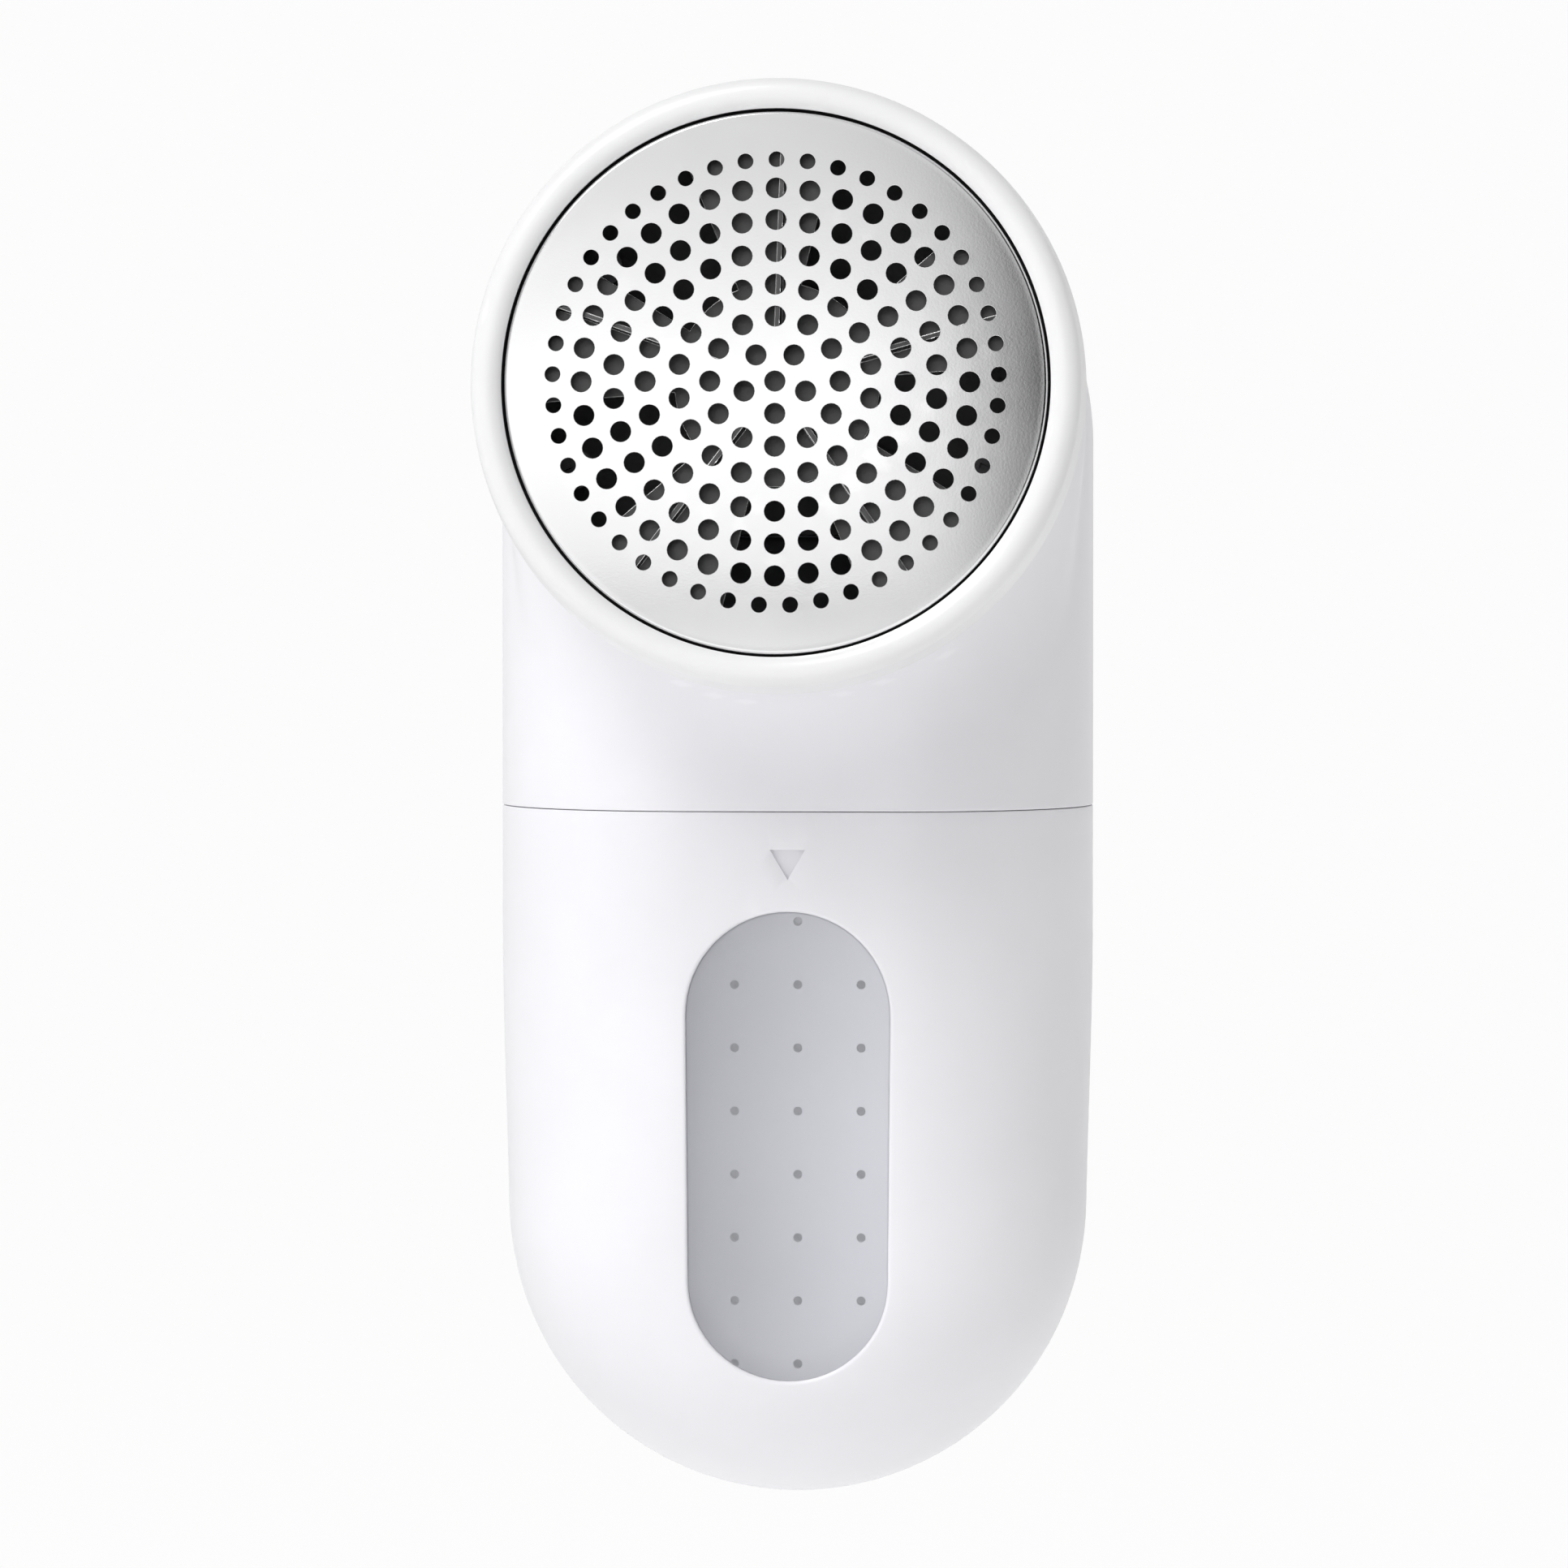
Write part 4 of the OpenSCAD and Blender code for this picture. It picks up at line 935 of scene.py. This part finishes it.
def paint_gap_shade(obj, inside):
    """Painted shade: a near-black second material on the faces whose radius and place along the head's axis
    pass the test, standing in for the shadow in the gap round the foil.
    """
    obj.data.materials.append(MAT["painted_gap_shade"])
    middle = np.array([0, SEAT_Y, HEAD_Z])
    for f in obj.data.polygons:
        p = np.array(f.center) / MM - middle
        s = p @ HEAD_AXIS
        if inside(np.linalg.norm(p - s * HEAD_AXIS), s):
            f.material_index = 1
    return obj


def foil_ring():
    """Twist-off ring with a rounded bead round the foil and three bayonet tabs inside."""
    s = Solid()
    back, wide, low = BARREL_S + 0.2, BARREL_S + 4, FLANGE_S + 0.4
    corner = [(RING_R - RING_HEEL - HEEL_ROUND * (1 - math.sin(t)), back + HEEL_ROUND * (1 - math.cos(t)))
              for t in np.linspace(0, math.pi / 2, 5)]
    side = [(RING_R - RING_HEEL * (1 - smooth(t)), back + HEEL_ROUND + t * (wide - back - HEEL_ROUND))
            for t in np.linspace(0, 1, 8)]
    flank = [(RING_R - RING_CROWN * smooth(t), wide + t * (BEAD_S - wide))
             for t in np.linspace(0.12, 0.94, 9)]
    bead = [(BEAD_C + BEAD_R * math.cos(t), BEAD_S + BEAD_R * math.sin(t))
            for t in np.linspace(0, math.acos((LIP_R - BEAD_C) / BEAD_R), 26)]
    lip = [(LIP_R, BEAD_S + 0.3), (LIP_R, low), (RING_IN_R, low)]
    s.revolve([(RING_IN_R, back), *corner, *side[1:], *flank, *bead, *lip], 240)
    (r0, r1), (s0, s1) = TAB_R, TAB_S
    for middle in (90, 210, 330):
        turn = np.radians(middle + np.linspace(-TAB_HALF_TURN, TAB_HALF_TURN, 16))
        s.head_bar(((r0, s0), (r1, s0), (r1, s1), (r0, s1)), turn)
    obj = s.build("foil_ring_moulded", "ring_white", "head_ring", "foil_ring")
    # the ring's lip wall inside the gap gets painted shade
    return paint_gap_shade(obj, lambda r, along: r < LIP_R + 0.02 and along < BEAD_S + 0.25)


HOLE_ROWS = ((0.0, 1, 0, 2.0), (3.08, 5, 36, 2.0), (6.2, 12, 0, 2.0), (9.25, 18, 0, 2.0), (12.37, 24, 0, 2.0),
             (15.45, 30, 0, 2.0), (18.5, 36, 0, 2.0), (21.27, 45, 0, 1.5))  # radius, count, start, width


def foil():
    """Domed steel foil with its ring rows of holes, a rolled edge and a seating flange."""
    s = Solid()
    roll, press = 0.45, 0.03              # roundings of the outer edge and of each hole
    disc_r, band_r = 22.8, FOIL_R - roll  # pierced disc, and the plain band round it

    def crown(r):
        return FOIL_EDGE_S + FOIL_RISE * (1 - (r / FOIL_R) ** 2)

    def on_dome(q, drop=0.0):
        return head_point(q[:, 0], q[:, 1], crown(np.hypot(q[:, 0], q[:, 1])) - drop)

    holes, edges = [], []
    for radius, count, start, width in HOLE_ROWS:
        for i in range(count):
            t = math.radians(90 + start + 360 * i / count)
            c = (radius * math.cos(t), radius * math.sin(t))
            holes.append(arc(*c, width / 2 + press, 0, 360, 20))
            edges.append(arc(*c, width / 2, 0, 360, 20))
    step, margin = 0.95, 0.55
    q, faces, loops = flat_mesh(arc(0, 0, disc_r, 0, 360, 180), holes, step, margin)
    slope = 2 * FOIL_RISE / FOIL_R ** 2
    normal = HEAD_AXIS + slope * (q[:, :1] * np.array([1.0, 0, 0]) + q[:, 1:] * HEAD_UP)
    normal /= np.linalg.norm(normal, axis=1, keepdims=True)
    rims = [(loop, on_dome(edge), on_dome(edge, FOIL_T), press) for loop, edge in zip(loops[1:], edges)]
    a, b = shell(s, on_dome(q), normal, on_dome(q, FOIL_T), faces, rims, 1)
    top = crown(band_r)
    band = [(r, crown(r)) for r in np.linspace(disc_r, band_r, 7)[1:]]
    rolled = [(band_r + roll * math.sin(t), top - roll * (1 - math.cos(t)))
              for t in np.linspace(0.2, 1.57, 8)]
    skirt = [(FOIL_R, FLANGE_S + FOIL_T), (RING_IN_R - 0.1, FLANGE_S + FOIL_T), (RING_IN_R - 0.1, FLANGE_S),
             (FOIL_R - FOIL_T, FLANGE_S), (FOIL_R - FOIL_T, top - roll)]
    back = [(r, crown(r) - FOIL_T) for r in np.linspace(band_r - 0.1, disc_r, 7)[:-1]]
    turn = np.linspace(0, 2 * math.pi, 180, endpoint=False)
    rows = [s.add(head_circle(r, turn, z)) for r, z in [*band, *rolled, *skirt, *back]]
    rows = [[a[i] for i in loops[0]], *rows, [b[i] for i in loops[0]]]
    for p, w in zip(rows, rows[1:]):
        s.strip(p, w)
    obj = s.build("foil_pierced", "foil_steel", "head_ring", "cutting_foil", sharp=24)
    # the foil's rolled skirt inside the gap gets painted shade
    return paint_gap_shade(obj, lambda r, along: r > FOIL_R - 0.06 and along < top - roll)


SPRING_BACK_S, SPRING_FRONT_S = 29.65, 33.5  # coupler's flange and the sleeve of the cutter's hub


def spring():
    """Coil spring behind the cutter, its end coils closer."""
    s = Solid()
    wire_r, coil_r, turns = 0.35, 4.2, 5.5
    s0, s1 = SPRING_BACK_S + wire_r, SPRING_FRONT_S - wire_r
    t = np.linspace(0, 1, 400)
    rise = smooth(0.075 + 0.85 * t)
    lift = s0 + (s1 - s0) * (rise - rise[0]) / (rise[-1] - rise[0])
    turn = 2 * math.pi * turns * t
    w = np.linspace(0, 2 * math.pi, 12, endpoint=False)
    rows = [s.add(head_circle(coil_r + wire_r * np.cos(w), turn[k], lift[k] + wire_r * np.sin(w)))
            for k in range(len(t))]
    for p, q in zip(rows, rows[1:]):
        s.strip(p, q)
    s.faces.append(tuple(rows[0]))
    s.faces.append(tuple(reversed(rows[-1])))
    obj = s.build("blade_spring_coil", "spring_steel", "rotor", "blade_spring")
    foot = place(head_point(0, 0, SPRING_BACK_S))[0]
    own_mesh(obj)
    return obj


lint_bin()
window_pane()
rear_shell()
front_shell()
foil_ring()
foil()
spring()


# ---- stage, light and camera, in metres -----------------
FLOOR_Z = -0.078                           # leaves room for the bin to slide down off its rails
FLOOR_GLOW, FLOOR_FLAT_WHITE = 0.22, 0.86  # light the floor adds, and how evenly white it is seen

# Studio levels by direction: degrees toward +X from the front, or above the floor, and brightness
WORLD_LEVEL = 1.2
SIDE_LIGHT = ((-180, 0.75), (-130, 0.8), (-90, 0.75), (-45, 0.72), (-26, 1.3), (0, 1.28), (16, 1.08),
              (35, 0.8), (70, 0.78), (110, 0.9), (180, 0.75))
HEIGHT_LIGHT = ((-90, 0.9), (-12, 0.72), (-4, 0.78), (6, 1.0), (11, 0.98), (18, 0.76), (24, 0.62), (45, 0.55),
                (90, 0.6))
# Black flag that darkens the foil's far edge: how much light it takes away
FLAG_ROUND = ((1, 0.0), (6, 0.06), (9, 0.28), (11.5, 0.6), (14, 1.0), (50, 1.0), (70, 0.0))
FLAG_UP = ((-40, 0.0), (-20, 1.0), (22, 1.0), (40, 0.0))
KEY_FROM, KEY_TO, KEY_SIZE, KEY_POWER = (-0.55, -0.85, 1.15), (0, 0, 0.07), 0.8, 11.8

# The camera stands a little to the right and above, far enough for a nearly flat view
VIEW_AZIMUTH, VIEW_ELEVATION, VIEW_DISTANCE = math.radians(3.0), math.radians(2.2), 1.2
VIEW_AIM = Vector((-0.00136, SEAT_Y * MM, 0.0697))
VIEW_WIDTH = 0.15456  # width of the view at the handle
SENSOR_MM = 36


def floor_material():
    """Pale floor that looks evenly white, and that a camera under it sees through."""
    m = Nodes(bpy.data.materials.new("sweep"))
    matt = m.add("ShaderNodeBsdfDiffuse", Color=(0.86, 0.86, 0.86, 1)).outputs[0]
    glow = m.add("ShaderNodeEmission", Strength=FLOOR_GLOW).outputs[0]
    lit = m.numbered("ShaderNodeAddShader", matt, glow)
    white = m.add("ShaderNodeEmission", Color=(1, 1, 1, 1), Strength=1.0).outputs[0]
    seen = m.math("MULTIPLY", m.add("ShaderNodeLightPath").outputs["Is Camera Ray"], FLOOR_FLAT_WHITE)
    under = m.add("ShaderNodeNewGeometry").outputs["Backfacing"]
    return m.finish(m.mix(under, m.mix(seen, lit, white), m.add("ShaderNodeBsdfTransparent").outputs[0]))


def stage():
    """Floor just below the slid-down bin, swept up behind."""
    half_width, back, front, rise, radius, steps = 4.0, 2.2, -3.0, 3.0, 0.8, 16
    bend = [(back - radius + radius * math.sin(a), radius - radius * math.cos(a))
            for a in (math.pi / 2 * i / steps for i in range(1, steps + 1))]
    profile = [(front, 0.0), (back - radius, 0.0), *bend, (back, rise)]
    verts = [(x, y, z + FLOOR_Z) for y, z in profile for x in (-half_width, half_width)]
    faces = [(2 * i, 2 * i + 1, 2 * i + 3, 2 * i + 2) for i in range(len(profile) - 1)]
    me = bpy.data.meshes.new("sweep")
    me.from_pydata(verts, [], faces)
    me.polygons.foreach_set("use_smooth", [True] * len(faces))
    me.materials.append(floor_material())
    o = bpy.data.objects.new("sweep", me)
    bpy.context.scene.collection.objects.link(o)


def world():
    """Studio surround: a bright band in front, darker to the right where the foil's far edge looks."""
    w = bpy.data.worlds.new("studio")
    bpy.context.scene.world = w
    m = Nodes(w, "ShaderNodeOutputWorld")
    way = m.parts(m.add("ShaderNodeTexCoord").outputs["Generated"])
    round_way = m.math("ARCTAN2", way[0], m.math("MULTIPLY", way[1], -1.0))
    up_way = m.math("ARCSINE", way[2])

    def by_degrees(angle, stops):
        first, last = stops[0][0], stops[-1][0]
        t = m.remap(angle, math.radians(first), math.radians(last), 0.0, 1.0)
        return m.ramp(t, [((d - first) / (last - first), v) for d, v in stops])

    level = m.math("MULTIPLY", by_degrees(round_way, SIDE_LIGHT), by_degrees(up_way, HEIGHT_LIGHT))
    flag = m.math("MULTIPLY", by_degrees(round_way, FLAG_ROUND), by_degrees(up_way, FLAG_UP))
    level = m.math("MULTIPLY", level, m.math("SUBTRACT", 1.0, flag))
    lit = m.add("ShaderNodeBackground", Strength=m.math("MULTIPLY", level, WORLD_LEVEL))
    seen = m.add("ShaderNodeBackground", Color=(1, 1, 1, 1), Strength=1.0)
    camera_ray = m.add("ShaderNodeLightPath").outputs["Is Camera Ray"]
    m.finish(m.mix(camera_ray, lit.outputs[0], seen.outputs[0]))


def stand(name, data, where, target):
    """A lamp or camera at where, turned toward target."""
    o = bpy.data.objects.new(name, data)
    o.location = where
    o.rotation_euler = (Vector(target) - Vector(where)).to_track_quat("-Z", "Y").to_euler()
    bpy.context.scene.collection.objects.link(o)
    return o


def key_light():
    """Soft lamp high at the front left."""
    data = bpy.data.lights.new("key", "AREA")
    data.shape, data.size, data.size_y = "RECTANGLE", KEY_SIZE, KEY_SIZE
    data.energy = KEY_POWER
    stand("key", data, KEY_FROM, KEY_TO)


def camera():
    data = bpy.data.cameras.new("view")
    data.sensor_width = SENSOR_MM
    data.lens = SENSOR_MM * VIEW_DISTANCE / VIEW_WIDTH
    az, el = VIEW_AZIMUTH, VIEW_ELEVATION
    toward = Vector((math.sin(az) * math.cos(el), -math.cos(az) * math.cos(el), math.sin(el)))
    bpy.context.scene.camera = stand("view", data, VIEW_AIM + VIEW_DISTANCE * toward, VIEW_AIM)


stage()
world()
camera()
key_light()
bpy.context.scene.view_settings.view_transform = "Standard"
